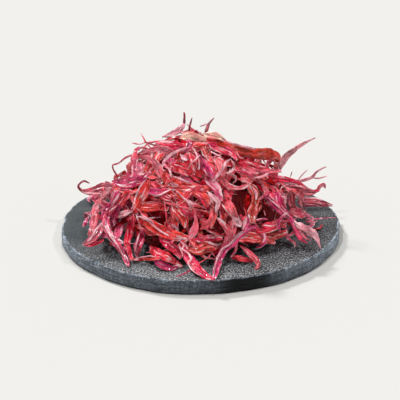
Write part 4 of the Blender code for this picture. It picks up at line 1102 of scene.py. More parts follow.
def tube_faces(rings, sides):
    """Quads between rings, then fans to the two end points, which follow the rings' points."""
    faces = []
    for ring in range(rings - 1):
        low, high = ring * sides, (ring + 1) * sides
        faces += [(low + i, low + (i + 1) % sides, high + (i + 1) % sides, high + i) for i in range(sides)]
    root, tip, last = rings * sides, rings * sides + 1, (rings - 1) * sides
    faces += [((i + 1) % sides, i, root) for i in range(sides)]
    faces += [(last + i, last + (i + 1) % sides, tip) for i in range(sides)]
    return faces


def add_strand(weave, rng, path, side, over, half_width, half_thick, tint, sides, ragged=1.0, bow=BOW,
               pale=1.0):
    """A closed strand with uneven edges, a bowed and crumpled section and a little twist of its own."""
    wave = Wave(rng)
    run = length_along(path)
    broad = np.clip(half_width / 1.2, 0.15, 1)
    path = (path + side * (ASIDE[0] * broad * wave(run, ASIDE[1]))[:, None]
            + over * (ALOFT[0] * wave(run, ALOFT[1]))[:, None])
    turn = (TURN[0] * wave(run, TURN[1]))[:, None]
    side, over = side * np.cos(turn) + over * np.sin(turn), over * np.cos(turn) - side * np.sin(turn)
    edges = [1 + ragged * (EDGE[0] * wave(run, EDGE[1]) + TEETH[0] * wave(run, TEETH[1])) for _ in range(2)]
    angle = np.arange(sides) / sides * math.tau
    u, v = np.cos(angle), np.sin(angle)
    across = half_width[:, None] * u * np.where(u > 0, edges[0][:, None], edges[1][:, None])
    through = section_height(wave, rng, run, u, v, half_width, half_thick, ragged, bow)
    points = path[:, None] + side[:, None] * across[..., None] + over[:, None] * through[..., None]
    share = np.linspace(0, 1, len(path))
    turned = np.clip(0.35 + TINT_SHARE[0] * wave(run, TINT_SHARE[1]), 0, 1)[:, None]
    colour = tint[0] * (1 - turned) + tint[1] * turned
    colour = colour * (1 + BRIGHTNESS[0] * wave(run, BRIGHTNESS[1]))[:, None]
    # How pale each point is: most at the thin edges and towards the tip, where the seaweed material paints
    # highlights and light shining through
    rims = (np.abs(u)[None] ** 10 * 1.05 + share[:, None] ** 6 * 0.5 + 1) * pale - 1
    home = rng.uniform(0, 900)
    along = np.repeat(run[:, None], sides, axis=1)
    lies = np.stack([across, along, np.where(v > 0, home, home + 7)[None] + 0 * across], axis=-1)
    tip = path[-1:] + unit(path[-1:] - path[-2:-1]) * TIP_REACH
    weave.add(np.vstack([points.reshape(-1, 3), path[:1], tip]), tube_faces(len(path), sides),
              np.vstack([np.repeat(colour, sides, axis=0), colour[:1], colour[-1:]]),
              np.concatenate([rims.ravel(), [0, pale]]),
              np.vstack([lies.reshape(-1, 3), [0, 0, home], [0, run[-1], home]]))


def section_height(wave, rng, run, u, v, half_width, half_thick, ragged, bow):
    """How high each point of a strand's section stands, by its bow, keel, folds and creased thickness."""
    flat = np.clip(half_width / np.maximum(half_thick, 0.1) - 1, 0, 1.5) / 1.5
    bowed = (bow * wave(run, BOW_LENGTH))[:, None] * half_width[:, None] * (u * u - 0.4)
    keel = (KEEL[0] * wave(run, KEEL[1]))[:, None]
    keel_height = (KEEL_HEIGHT[0] * wave(run, KEEL_HEIGHT[1]) * half_width * flat)[:, None]
    bowed = bowed + keel_height * (np.abs(u - keel) - 0.5)
    for number, height, length in FOLDS:
        phase = (1.2 * wave(run, length) + rng.uniform(0, math.tau))[:, None]
        bowed = bowed + (height * half_width * flat)[:, None] * (np.abs(np.sin(number * u + phase)) - 0.6)
    shift = wave(run, CREASES[1])[:, None] * CREASES[0]
    creases = 1 + CREASE_DEPTH * ragged * np.abs(np.sin(CREASE_NUMBER * u + shift))
    return FULL_THICKNESS * half_thick[:, None] * v * creases + bowed


def add_frond(weave, rng, frond, tint, pale=1.0):
    """The fine form of one of the frame's fronds."""
    points, normals = placed(frond)
    for branch in frond.branches:
        path, side, over = sections(frond, branch, points, normals)
        half_width = branch.half_width.copy()
        if not branch.forked:
            half_width[0] *= 0.5
        fine = [splined(rows, RINGS_PER_KNOT) for rows in (path, side, over, half_width, branch.half_thick)]
        path, side = fine[0], unit(fine[1])
        tangent = unit(np.gradient(path, axis=0))
        over = unit(np.cross(side, tangent))
        side = np.cross(tangent, over)
        sides = STRAP_SIDES if branch.widest >= STRAP_FROM else THREAD_SIDES
        half_width, half_thick = (np.maximum(fine[i + 3][:, 0], FINEST[i]) for i in range(2))
        add_strand(weave, rng, path, side, over, half_width, half_thick, tint, sides, pale=pale)


def mixed(one, other, share):
    """A colour at a share of the way from one to another."""
    return tuple(a + (b - a) * share for a, b in zip(one, other))


def tint_of(rng, name, place):
    """Two colours near a named one, between which a strand changes along its length. Both are paler near the
    top of the heap, where light passes through the fronds."""
    top = PALE_MOST * min(max(0.0, place[2] - PALE_ABOVE) / PALE_WITHIN, 1)
    pair = []
    for tint in (TINTS[name], TINTS[rng.choice(NEAR[name])]):
        colour = np.array(mixed(tint, PALE, rng.uniform(0, 0.06) + top))
        pair.append(colour * rng.uniform(*TINT_SPREAD))
    return np.array(pair)


class Relief:
    """How high the heap stands over the mound, on a grid of chart points."""

    def __init__(self, laid):
        self.top = np.zeros((2 * GRID_REACH + 1, 2 * GRID_REACH + 1))
        self.add(laid.spots, laid.radii)

    def add(self, spots, radii):
        """Raises the grid to the upper sides of balls at these spots."""
        chart, height = charted(spots)
        reach = np.maximum(radii, 0.8) / GRID_GAP
        places = chart / GRID_GAP + GRID_REACH
        for (x, y), rise, near in zip(places, height + radii, reach):
            columns = slice(max(0, math.ceil(x - near)), max(0, int(x + near) + 1))
            rows = slice(max(0, math.ceil(y - near)), max(0, int(y + near) + 1))
            self.top[columns, rows] = np.maximum(self.top[columns, rows], rise)

    def at(self, chart):
        """The heights at chart points."""
        cells = np.clip(np.rint(chart / GRID_GAP).astype(int) + GRID_REACH, 0, 2 * GRID_REACH)
        return self.top[cells[:, 0], cells[:, 1]]


def highest_near(values, reach):
    """Each value's highest neighbour along the row, smoothed."""
    width = 2 * reach + 1
    padded = np.pad(values, reach, mode="edge")
    highest = np.max([padded[i:i + len(values)] for i in range(width)], axis=0)
    padded = np.pad(highest, reach, mode="edge")
    return np.mean([padded[i:i + len(values)] for i in range(width)], axis=0)


def free_strand(weave, rng, relief, start, heading, length, half_width, depth, tint, forks=0, pale=1.0):
    """A fine strand that isn't in the frame, over or between what is laid, and its side branches. It spans
    the dips. One that would stand out of the heap's outline in the photograph is left out."""
    curl = rng.uniform(-FREE_CURL, FREE_CURL)
    path, headings = walk(rng, start, heading, length, curl, FREE_WANDER, half_width * 0.5)
    chart = np.array(path)
    feet, normals = ground(chart)
    height = highest_near(relief.at(chart), SPAN) * depth + (0.15 + half_width * 0.3)
    share = np.linspace(0, 1, len(chart))
    lift = rng.choice(TIP_LIFTS) * np.clip((share - 0.7) / 0.3, 0, 1) ** 2
    height = np.maximum(height + lift, PLATE_GAP + half_width * 0.7)
    spots = feet + normals * height[:, None]
    widths = half_width * np.clip(share / 0.08, 0.3, 1) * np.clip((1 - share) / 0.5, 0, 1) ** 0.7 + 0.07
    thicks = np.minimum(STRAND_FLATNESS[0] + STRAND_FLATNESS[1] * half_width, widths)
    spots, normals = splined(spots, RINGS_PER_STEP), splined(normals, RINGS_PER_STEP)
    widths = np.maximum(splined(widths, RINGS_PER_STEP)[:, 0], FINEST[0])
    thicks = np.maximum(splined(thicks, RINGS_PER_STEP)[:, 0], FINEST[1])
    tangent = unit(np.gradient(spots, axis=0))
    side = unit(np.cross(tangent, normals))
    over = np.cross(side, tangent)
    sides = STRAP_SIDES if half_width > STRAP_FROM else THREAD_SIDES
    if not stands_out(spots):
        add_strand(weave, rng, spots, side, over, widths, thicks, tint, sides, pale=pale)
    turn = rng.choice((-1, 1))
    for _ in range(forks):
        at = rng.randrange(2, max(3, int(len(path) * 0.8)))
        turn = -turn
        free_strand(weave, rng, relief, path[at], headings[at] + turn * rng.uniform(*BRANCH_TURN),
                    length * rng.uniform(*BRANCH_LENGTH), half_width * rng.uniform(*BRANCH_WIDTH), depth,
                    tint, pale=pale)


def add_sprig(weave, rng, root, direction, bend, length, radius, tint):
    """A short pointed side branch that curves."""
    share = np.linspace(0, 1, SPRIG_RINGS)[:, None]
    path = root + (direction * share + bend * share * share) * length
    tangent = unit(np.gradient(path, axis=0))
    side = unit(np.cross(tangent, direction + bend + (0.31, 0.17, 0.53)))
    over = np.cross(side, tangent)
    width = radius * (1 - share[:, 0]) ** 0.8 + 0.05
    add_strand(weave, rng, path, side, over, width, width * 0.8, tint, SPRIG_SIDES, ragged=0.3, bow=0.0)


def add_sprigs(weave, rng, frond, count, tint):
    """Sprigs along a frond's branches."""
    points, normals = placed(frond)
    for _ in range(count):
        branch = rng.choice(frond.branches)
        path, side, _ = sections(frond, branch, points, normals)
        at = rng.randrange(len(path) - 1)
        share = rng.random()
        root = path[at] * (1 - share) + path[at + 1] * share
        along = path[at + 1] - path[at]
        along = along / np.linalg.norm(along)
        out = normals[branch.knots[at]]
        direction = side[at] * rng.choice((-1, 1)) * rng.uniform(0.5, 1) + out * rng.uniform(0, 0.8)
        direction = unit(direction + along * rng.uniform(-0.2, 0.9))
        bend = along * rng.uniform(-0.2, 0.6) + out * rng.uniform(-0.5, 0.4)
        length = rng.uniform(*SPRIG_LENGTH)
        if (root + direction * length)[2] < SPRIG_CLEARANCE or stands_out(root[None] + direction * length):
            continue
        add_sprig(weave, rng, root, direction, bend, length, rng.uniform(*SPRIG_RADIUS), tint)


def eye():
    """The camera's place in the layout."""
    return np.array(view_spot()) / MILLIMETRE - (0, 0, PLATE_THICKNESS)


def rays(places):
    """Unit vectors from the camera through places in the photograph's frame."""
    flat = np.column_stack([
        (places[:, 0] - MIDDLE) / FOCAL, (MIDDLE_ROW - places[:, 1]) / FOCAL, np.full(len(places), -1.0)
    ])
    return unit(flat @ np.array(view_turn().to_3x3()).T)


def pictured(points):
    """The places in the photograph's frame where points of the layout show."""
    seen = (points - eye()) @ np.array(view_turn().to_3x3())
    scale = FOCAL / seen[:, 2]
    return np.column_stack([MIDDLE - seen[:, 0] * scale, MIDDLE_ROW + seen[:, 1] * scale])


def stands_out(points):
    """Whether any of the points shows outside the heap's outline in the photograph."""
    x, y = pictured(points).T
    inside = np.zeros(len(points), bool)
    for (x1, y1), (x2, y2) in zip(SEEN_OUTLINE, SEEN_OUTLINE[1:] + SEEN_OUTLINE[:1]):
        if y1 != y2:
            inside ^= ((y1 > y) != (y2 > y)) & (x < x1 + (x2 - x1) * (y - y1) / (y2 - y1))
    return not inside.all()


def met(relief, ways):
    """How far along each ray from the camera the heap or the plate is met. A ray that meets neither ends at
    the plane through the plate's axis."""
    spot = eye()
    lengths = np.arange(NEAREST, FARTHEST, SEARCH_STEP)
    points = (spot + ways[:, None] * lengths[:, None]).reshape(-1, 3)
    chart, height = charted(points)
    inside = (height < relief.at(chart)) & (np.hypot(points[:, 0], points[:, 1]) < PLATE_RADIUS)
    inside = inside.reshape(len(ways), -1)
    plane = -spot[1] / ways[:, 1]
    return np.where(inside.any(1), lengths[inside.argmax(1)], plane)


def seen_strand(weave, rng, relief, line, tint, fullness, behind=None):
    """A strand along places in the photograph's frame: on the heap, where its depth may change only so fast
    along it, or at a distance behind the axis. A broad one is split along its length."""
    steps = max(2, round(math.dist(line[0][:2], line[-1][:2]) / (len(line) - 1) / PLACE_GAP))
    fine = splined(line, steps)
    ways = rays(fine)
    if behind is None:
        length = -highest_near(-met(relief, ways), 2)
        across = np.cumsum(np.hypot(*np.diff(fine[:, :2], axis=0, prepend=fine[:1, :2]).T)) * PLACE_SIZE
        run_back = RUN_BACK_ON_TOP if fine[:, 1].mean() < TOP_PLACE else RUN_BACK
        length = (length + run_back * np.abs(across[:, None] - across)).min(1)
    else:
        length = (behind - eye()[1]) / ways[:, 1]
    half_width = np.maximum(fine[:, 2], NARROWEST) / 2 * length * SENSOR / LENS / PICTURE_SIZE
    half_width *= np.clip(np.linspace(0, len(fine) / 3, len(fine)), 0.4, 1)
    half_thick = np.minimum(SEEN_FLATNESS[0] + SEEN_FLATNESS[1] * half_width, ROUNDEST * half_width)
    half_thick += (ROUNDEST * half_width - half_thick) * fullness
    path = eye() + ways * (length - SET_FORWARD * half_thick)[:, None]
    path[:, 2] = np.maximum(path[:, 2], PLATE_GAP + half_thick)
    tangent = unit(np.gradient(path, axis=0))
    facing = unit(ground(charted(path)[0])[1] * FACING - ways)
    side = unit(np.cross(tangent, facing))
    over = np.cross(side, tangent)
    broad = half_width.max()
    sides = STRAP_SIDES if broad > STRAP_FROM else THREAD_SIDES
    strips = 1 if fullness else 1 + (broad > TWO_STRIPS_FROM) + (broad > THREE_STRIPS_FROM)
    for number in range(strips):
        aside = (2 * number + 1) / strips - 1
        own = tint * rng.uniform(*STRIP_SPREAD) if strips > 1 else tint
        overlap = STRIP_OVERLAP if strips > 1 else 1
        add_strand(weave, rng, path + side * (aside * half_width)[:, None], side, over,
                   half_width / strips * overlap, half_thick, own, sides, 1 - fullness, BOW * (1 - fullness),
                   1 - 0.6 * fullness)
    for aside in PRINTED:
        relief.add(path + side * (aside * half_width)[:, None], half_thick)


def seen_pieces(rng, relief, colours, material, shade):
    """The strands that show in the photograph: those that stand for nodes, and the rest by colour."""
    weaves = {}
    lines = [(name, node, None, line) for name, node, line in SEEN_ON_THE_HEAP] + list(SEEN_STANDING_OUT)
    for name, node, behind, line in lines:
        tint = np.array([TINTS[name], mixed(TINTS[name], TINTS[rng.choice(NEAR[name])], 0.6)])
        weave = weaves.setdefault((node, "" if node else SLOT_OF[name]), Weave())
        fullness = FULLNESS.get(node, 0) if name != "petal" or node == "sac_right" else 0
        seen_strand(weave, rng, relief, line, tint * rng.uniform(*LINE_SPREAD), fullness, behind)
    weaves.pop(("", "shaded")).piece("strands_seen_shaded", shade, "crimson")
    for (node, slot), weave in weaves.items():
        if node:
            weave.piece(f"{node}_fine", material, colours[node], node)
        else:
            weave.piece(f"strands_seen_{slot}", material, slot)


def add_core(weave):
    """The bottom of the heap, seen only through the gaps and painted dark red: painted shade."""
    arcs = np.concatenate([np.linspace(0.01, CORE_ARC, CORE_RINGS), [CORE_ARC + 0.2]])
    azimuths = np.arange(CORE_SIDES) / CORE_SIDES * math.tau
    arc, azimuth = np.meshgrid(arcs, azimuths, indexing="ij")
    chart = np.column_stack([(arc * np.cos(azimuth)).ravel(), (arc * np.sin(azimuth)).ravel()])
    feet, normals = ground(chart)
    x, y = chart.T
    folds = np.sin(0.9 * x + 0.5 * y) * np.sin(0.8 * y - 0.6 * x + 1)
    folds = folds + 0.5 * np.sin(2.1 * x) * np.sin(1.9 * y)
    points = feet + normals * (CORE_FOLD * folds - CORE_DEPTH)[:, None]
    points[-CORE_SIDES:, 2] = PLATE_GAP
    points = np.vstack([points, points[:CORE_SIDES].mean(0), [0, 0, PLATE_GAP]])
    faces = [tuple(reversed(face)) for face in tube_faces(len(arcs), CORE_SIDES)]
    weave.add(points, faces, np.tile(PAINTED_SHADE_RED, (len(points), 1)), np.full(len(points), -1.0))


def node_material(name, inputs):
    """A material with the shader's plain inputs set, its node tree and its shader."""
    material = bpy.data.materials.new(name)
    material.use_nodes = True
    tree = material.node_tree
    shader = tree.nodes["Principled BSDF"]
    for key, value in inputs.items():
        shader.inputs[key].default_value = value
    return material, tree, shader


def add_node(tree, kind, **settings):
    """A node with its settings: attributes by name, and inputs by name where they start with in_."""
    made = tree.nodes.new(kind)
    for key, value in settings.items():
        if key.startswith("in_"):
            made.inputs[key[3:].replace("_", " ")].default_value = value
        else:
            setattr(made, key, value)
    return made


def map_range(tree, value, low, high, to_low, to_high):
    """A node that maps one range of a value to another, within its bounds."""
    made = tree.nodes.new("ShaderNodeMapRange")
    for name, number in (("From Min", low), ("From Max", high), ("To Min", to_low), ("To Max", to_high)):
        made.inputs[name].default_value = number
    tree.links.new(value, made.inputs["Value"])
    return made.outputs["Result"]


def blend(tree, share, one, other):
    """A colour between two, where each is a link or a plain colour."""
    made = add_node(tree, "ShaderNodeMix", data_type="RGBA")
    tree.links.new(share, made.inputs["Factor"])
    for socket, colour in ((made.inputs[6], one), (made.inputs[7], other)):
        if isinstance(colour, tuple):
            socket.default_value = (*colour, 1)
        else:
            tree.links.new(colour, socket)
    return made.outputs[2]


def stretched_noise(tree, source, stretch, detail, roughness):
    """Noise that is finer along some axes than along others."""
    scaled = add_node(tree, "ShaderNodeVectorMath", operation="MULTIPLY")
    tree.links.new(source, scaled.inputs[0])
    scaled.inputs[1].default_value = stretch
    noise = add_node(tree, "ShaderNodeTexNoise", in_Scale=1.0, in_Detail=detail, in_Roughness=roughness)
    tree.links.new(scaled.outputs["Vector"], noise.inputs["Vector"])
    return noise.outputs["Fac"]


def combined(tree, operation, *links):
    """A value that adds or multiplies others."""
    total = links[0]
    for link in links[1:]:
        made = add_node(tree, "ShaderNodeMath", operation=operation)
        tree.links.new(total, made.inputs[0])
        tree.links.new(link, made.inputs[1])
        total = made.outputs["Value"]
    return total


def dimmed(tree, colour, share):
    """A colour times a value, which is a link or a plain number."""
    made = add_node(tree, "ShaderNodeVectorMath", operation="SCALE")
    tree.links.new(colour, made.inputs[0])
    if isinstance(share, float):
        made.inputs["Scale"].default_value = share
    else:
        tree.links.new(share, made.inputs["Scale"])
    return made.outputs["Vector"]


def attribute(tree, name):
    """One of the mesh's own values for each point."""
    return add_node(tree, "ShaderNodeAttribute", attribute_name=name).outputs


def bumped(tree, *textures):
    """The normal that textures give, laid over each other, each with its strength and its depth in metres."""
    normal = None
    for texture, strength, distance in textures:
        bump = add_node(tree, "ShaderNodeBump", in_Strength=strength, in_Distance=distance)
        tree.links.new(texture, bump.inputs["Height"])
        if normal:
            tree.links.new(normal, bump.inputs["Normal"])
        normal = bump.outputs["Normal"]
    return normal


def seaweed():
    """Dried seaweed: glossy, mottled, creased along its length, paler where it is thin and along its creases:
    painted highlights, and painted light shining through the thin seaweed.
    """
    material, tree, shader = node_material("seaweed", SEAWEED_INPUTS)
    link = tree.links.new
    tint, rim = attribute(tree, "tint")["Color"], attribute(tree, "rim")["Fac"]
    lie = attribute(tree, "lie")["Vector"]
    kinds = MOTTLE, CREASE, STREAK, PUCKER
    mottle, crease, streak, pucker = (stretched_noise(tree, lie, *kind) for kind in kinds)
    depth = combined(tree, "ADD", map_range(tree, mottle, *MOTTLE_DEPTH),
                     map_range(tree, streak, *STREAK_DEPTH))
    # Pale lines at the edges, tips and creases: painted highlights, and painted light through the thin
    # seaweed
    thin = combined(tree, "ADD", rim, map_range(tree, crease, *CREASE_HIGHLIGHT),
                    map_range(tree, streak, *STREAK_HIGHLIGHT))
    flush = map_range(tree, mottle, *MOTTLE_BLUSH)
    colour = blend(tree, flush, dimmed(tree, tint, depth), BLUSH)
    colour = blend(tree, map_range(tree, thin, *HIGHLIGHT_PALE), colour, PALE)
    link(colour, shader.inputs["Base Color"])
    normal = bumped(tree, (crease, *CREASE_BUMP), (pucker, *PUCKER_BUMP))
    link(normal, shader.inputs["Normal"])
    link(normal, shader.inputs["Coat Normal"])
    return material


def shaded_seaweed():
    """The seaweed inside the heap, where no light glints: deep red, because what reaches it came through the
    fronds."""
    material, tree, shader = node_material("shaded_seaweed", SHADED_INPUTS)
    tree.links.new(attribute(tree, "tint")["Color"], shader.inputs["Base Color"])
    return material


def slate():
    """Split slate: dark and speckled on top, in thin uneven layers where the rim is hewn."""
    material, tree, shader = node_material("slate", SLATE_INPUTS)
    place = add_node(tree, "ShaderNodeTexCoord").outputs["Object"]
    tint, hewn = attribute(tree, "tint")["Color"], attribute(tree, "rim")["Fac"]
    kinds = CLOUD, GRAIN, GRIT, LAYERS
    cloud, grain, grit, layers = (stretched_noise(tree, place, *kind) for kind in kinds)
    parts = add_node(tree, "ShaderNodeSeparateXYZ")
    tree.links.new(place, parts.inputs["Vector"])
    aside, behind = parts.outputs["X"], parts.outputs["Y"]
    rough = combined(tree, "ADD", map_range(tree, behind, *ROUGH_IN_FRONT),
                     map_range(tree, aside, *ROUGH_AT_RIGHT))
    # The top's tone: cloudy at random, and lighter towards the front with painted light
    front = combined(tree, "ADD", map_range(tree, cloud, *CLOUD_GREY),
                     map_range(tree, behind, *PAINTED_LIGHT_IN_FRONT))
    top = blend(tree, front, BLUE_SLATE, GREY_SLATE)
    # Painted shadow of the heap, darker towards the right
    top = blend(tree, map_range(tree, aside, *PAINTED_SHADOW_AT_RIGHT), top, PAINTED_SHADOW_SLATE)
    dark = combined(tree, "MULTIPLY", map_range(tree, grain, *GRAIN_DARK), rough)
    light = combined(tree, "MULTIPLY", map_range(tree, grit, *GRIT_LIGHT), rough)
    top = blend(tree, light, blend(tree, dark, top, DARK_GRAIN), LIGHT_GRAIN)
    # The side's tint holds its painted light at the left and right and its painted shade in front and at its
    # foot
    side = blend(tree, map_range(tree, layers, *LAYERS_DARK), tint, dimmed(tree, tint, LAYER_DIM))
    side = blend(tree, map_range(tree, grit, *GRIT_ON_SIDE), side, dimmed(tree, tint, GRIT_BRIGHT))
    tree.links.new(blend(tree, hewn, top, side), shader.inputs["Base Color"])
    normal = bumped(tree, (cloud, *CLOUD_BUMP), (layers, *LAYER_BUMP), (grain, *GRAIN_BUMP))
    tree.links.new(normal, shader.inputs["Normal"])
    return material


def hewn_radius(azimuth):
    """The plate's radius, which waves slightly, as a rim that is broken by hand does."""
    waves = sum(depth * (math.sin(number * azimuth + phase) - 1) for number, depth, phase in HEWN_WAVES)
    off = math.remainder(azimuth - CHIP_AZIMUTH, math.tau) / CHIP_SPREAD
    return PLATE_RADIUS + waves - CHIP_DEPTH * math.exp(-off * off)


def side_shade(around):
    """How pale the hewn side is at an azimuth: palest at the left and the right, with painted light, dark in
    front, with painted shade, and nearly black where a scale has broken off."""
    from_right = (around - RIGHT_AZIMUTH + 180) % 360 - 180
    shade = SIDE_SHADE + PAINTED_LIGHT_LEFT[0] * np.exp(-(around / PAINTED_LIGHT_LEFT[1]) ** 2)
    shade = shade + PAINTED_LIGHT_RIGHT[0] * np.exp(-(from_right / PAINTED_LIGHT_RIGHT[1]) ** 2)
    shade += PAINTED_LIGHT_BACK * np.clip((np.abs(around) - BACK_FROM) / 40, 0, 1)
    return shade * (1 - SCAR_DARK * np.exp(-((around - SCAR_AZIMUTH) / SCAR_WIDTH) ** 4))


def plate_piece(rng, material):
    """The slate plate with its riven top, chipped edge and hewn side."""
    azimuths = np.arange(PLATE_SIDES) / PLATE_SIDES * math.tau
    radii = np.array([hewn_radius(azimuth) for azimuth in azimuths])
    flakes = np.zeros(PLATE_SIDES)
    chips = np.zeros(PLATE_SIDES)
    for number in FLAKE_WAVES:
        flakes += np.sin(number * azimuths + rng.uniform(0, math.tau)) / 5
        chips += np.sin(number * azimuths + rng.uniform(0, math.tau)) / 5
    chips = EDGE_CHIPS[0] + EDGE_CHIPS[1] * np.clip(chips, 0, 1)
    around = np.degrees(azimuths) - 180
    shade = side_shade(around) * (1 + FLAKE_SHADE * flakes)
    shade *= 1 + SHADE_NOISE * np.array([rng.uniform(-1, 1) for _ in azimuths])
    rings, rims, shades = [], [], []
    for i in range(1, TOP_RINGS + 1):
        share = (i / TOP_RINGS) ** TOP_SPACING
        rings.append(np.column_stack([(radii - chips - 0.5) * share, np.zeros(PLATE_SIDES)]))
        rims.append(np.zeros(PLATE_SIDES))
        shades.append(shade)
    for inward, hewn in EDGE_RINGS:
        rings.append(np.column_stack([radii - chips - inward, np.full(PLATE_SIDES, -0.03)]))
        rims.append(np.full(PLATE_SIDES, hewn))
        # The chipped edge is paler than the side: chipped stone, with a painted highlight along the edge
        shades.append(np.clip(0.16 + 0.8 * shade + 0.25 * flakes, 0.05, 0.5))
    for level in range(RIM_LEVELS):
        drop = level / (RIM_LEVELS - 1)
        belly = 0.35 * math.sin(math.pi * drop) - 0.3 * drop ** 6
        layers = 0.16 * math.sin(9 * drop * math.pi) + 0.12 * np.sin(40 * azimuths + 17 * drop)
        inward = 0.35 - belly + layers + flakes * 0.5 * math.sin(math.pi * min(1, drop * 1.2))
        depth = -(0.25 + chips * 0.5) * (1 - drop) - PLATE_THICKNESS * drop
        rings.append(np.column_stack([radii - np.clip(inward, 0, None), depth]))
        rims.append(np.ones(PLATE_SIDES))
        # The hewn side is lighter at its top and darker towards its foot: painted light and painted shade
        shades.append(shade * (1.25 - 0.75 * drop ** 4))
    out = np.column_stack([np.cos(azimuths), np.sin(azimuths)])
    points = np.vstack([np.column_stack([out * ring[:, :1], ring[:, 1]]) for ring in rings])
    points = np.vstack([points, [0, 0, 0], [0, 0, -PLATE_THICKNESS]])
    faces = [tuple(reversed(face)) for face in tube_faces(len(rings), PLATE_SIDES)]
    tints = np.concatenate([*shades, [UNDERSIDE_SHADE] * 2])[:, None] * SLATE_TONE
    weave = Weave()
    weave.add(points, faces, tints, np.concatenate([*rims, [0, 0]]))
    weave.piece("slate_plate_hewn", material, "slate", "slate_plate")


def strewn_pieces(rng, relief, material, prefix, strands):
    """Free strands from places on the mound, each of its kind, as one piece for each colour."""
    weaves = {name: Weave() for name in SPREAD_COLOURS}
    for start, (lengths, half_widths, depth, forks) in strands:
        spot = ground(np.array([start]))[0][0]
        name = colour_at(rng, spot)
        heading, length = rng.uniform(0, math.tau), rng.uniform(*lengths)
        half_width = rng.uniform(*half_widths)
        depth = rng.uniform(*depth) if isinstance(depth, tuple) else depth
        free_strand(weaves[name], rng, relief, start, heading, length, half_width, depth,
                    tint_of(rng, name, spot), rng.choice(forks))
    for name, weave in weaves.items():
        if weave.count:
            weave.piece(f"{prefix}_{name}", material, name)


def heap_pieces(material, shade):
    """Every frond of the frame in its fine form, and the strands that only the scene has: those between what
    is laid, scraps and threads over it, those at the back, and those that are seen in the photograph."""
    strands, fronds, laid = tangle()
    relief = Relief(laid)
    rng = random.Random(EXTRA_SEED)
    heart = Weave()
    add_core(heart)
    for strand in strands:
        # The heart's strands are painted dark red: painted shade deep in the heap
        add_frond(heart, rng, strand, np.array([PAINTED_SHADE_RED, mixed(PAINTED_SHADE_RED, CRIMSON, 0.5)]), HEART_PALE)
    heart.piece("heart_fine", material, "crimson", "tangle_heart")
    seen_nodes = {entry[1] for entry in SEEN_ON_THE_HEAP + SEEN_STANDING_OUT}
    for frond in fronds:
        if frond.name in seen_nodes:
            continue
        weave = Weave()
        tint = tint_of(rng, frond.colour, placed(frond)[0].mean(0))
        add_frond(weave, rng, frond, tint)
        add_sprigs(weave, rng, frond, SPRIGS_PER_FROND, tint)
        weave.piece(f"{frond.name}_fine", material, frond.colour, frond.name)
    # Strands between what is laid: painted shade, darker and with fainter painted highlights the lower they
    # lie
    inner = Weave()
    for start in spread_points(rng, INNER_STRANDS, EXTRA_REACH):
        spot = ground(np.array([start]))[0][0]
        depth = rng.uniform(*INNER_DEPTH)
        tint = np.array([PAINTED_SHADE_RED, mixed(PAINTED_SHADE_RED, TINTS[colour_at(rng, spot)], depth)])
        free_strand(inner, rng, relief, start, rng.uniform(0, math.tau), rng.uniform(*INNER_LENGTH),
                    rng.uniform(*INNER_HALF_WIDTH), depth, tint, rng.choice((0, 1)), pale=depth)
    inner.piece("strands_between", shade, "crimson")
    starts = spread_points(rng, SCRAPS + THREADS, EXTRA_REACH)
    strewn_pieces(rng, relief, material, "strands_over", zip(starts, [SCRAP] * SCRAPS + [THREAD] * THREADS))
    back_rng = random.Random(BACK_SEED)
    starts = [(x, abs(y) + BACK_START) for x, y in spread_points(back_rng, BACK_STRANDS, EXTRA_REACH)]
    strewn_pieces(back_rng, relief, material, "strands_back", [(start, BACK_STRAND) for start in starts])
    seen_pieces(rng, relief, {frond.name: frond.colour for frond in fronds}, material, shade)


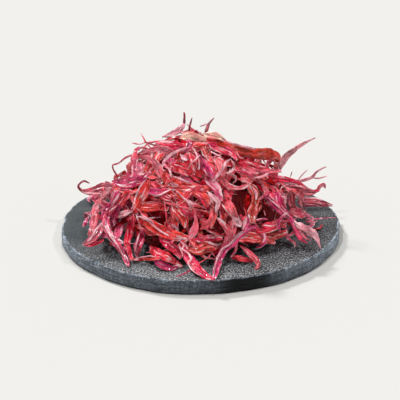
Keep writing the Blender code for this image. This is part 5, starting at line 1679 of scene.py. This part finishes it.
def room():
    """A pale floor, a white world, and the suns."""
    bpy.ops.mesh.primitive_plane_add(size=FLOOR_SIZE)
    floor = bpy.context.object
    floor.name = "floor"
    floor.data.materials.append(node_material("floor", FLOOR_INPUTS)[0])
    world = bpy.data.worlds.new("room")
    world.use_nodes = True
    background = world.node_tree.nodes["Background"]
    background.inputs["Color"].default_value = (1.0, 1.0, 1.0, 1)
    background.inputs["Strength"].default_value = WORLD_LIGHT
    bpy.context.scene.world = world
    for name, toward, spread, share in SUNS:
        light = bpy.data.lights.new(name, "SUN")
        direction = Vector(toward).normalized()
        light.angle = math.radians(spread)
        light.energy = share * math.pi / direction.z
        lamp = bpy.data.objects.new(name, light)
        lamp.rotation_euler = direction.to_track_quat("Z", "Y").to_euler()
        bpy.context.scene.collection.objects.link(lamp)


def view_spot():
    """The camera's place in the frame."""
    back = Vector((0, -math.cos(VIEW_ELEVATION), math.sin(VIEW_ELEVATION)))
    return Vector((0, 0, PLATE_THICKNESS * MILLIMETRE)) + back * VIEW_DISTANCE


def view_turn():
    """The camera's turn: it looks down at the plate, slightly rolled."""
    ahead = Vector((0, math.cos(VIEW_ELEVATION), -math.sin(VIEW_ELEVATION)))
    return ahead.to_track_quat("-Z", "Y").to_matrix().to_4x4() @ Matrix.Rotation(VIEW_ROLL, 4, "Z")


def camera():
    """The photograph's view: from the front, above, with the plate's top a little under the middle."""
    lens = bpy.data.cameras.new("camera")
    lens.lens = LENS
    lens.sensor_width = SENSOR
    lens.shift_y = VIEW_SHIFT
    lens.clip_start = 0.01
    view = bpy.data.objects.new("camera", lens)
    view.location = view_spot()
    view.rotation_euler = view_turn().to_euler()
    bpy.context.scene.collection.objects.link(view)
    bpy.context.scene.camera = view


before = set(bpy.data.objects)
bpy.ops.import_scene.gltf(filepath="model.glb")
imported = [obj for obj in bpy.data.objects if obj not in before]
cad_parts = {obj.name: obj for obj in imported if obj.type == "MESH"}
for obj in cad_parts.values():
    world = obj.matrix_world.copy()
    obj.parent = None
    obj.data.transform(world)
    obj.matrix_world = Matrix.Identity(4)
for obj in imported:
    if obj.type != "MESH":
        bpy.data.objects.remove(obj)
cad_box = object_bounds()
camera()
room()
plate_piece(random.Random(PLATE_SEED), slate())
heap_pieces(seaweed(), shaded_seaweed())
bpy.context.scene.view_settings.view_transform = "Standard"
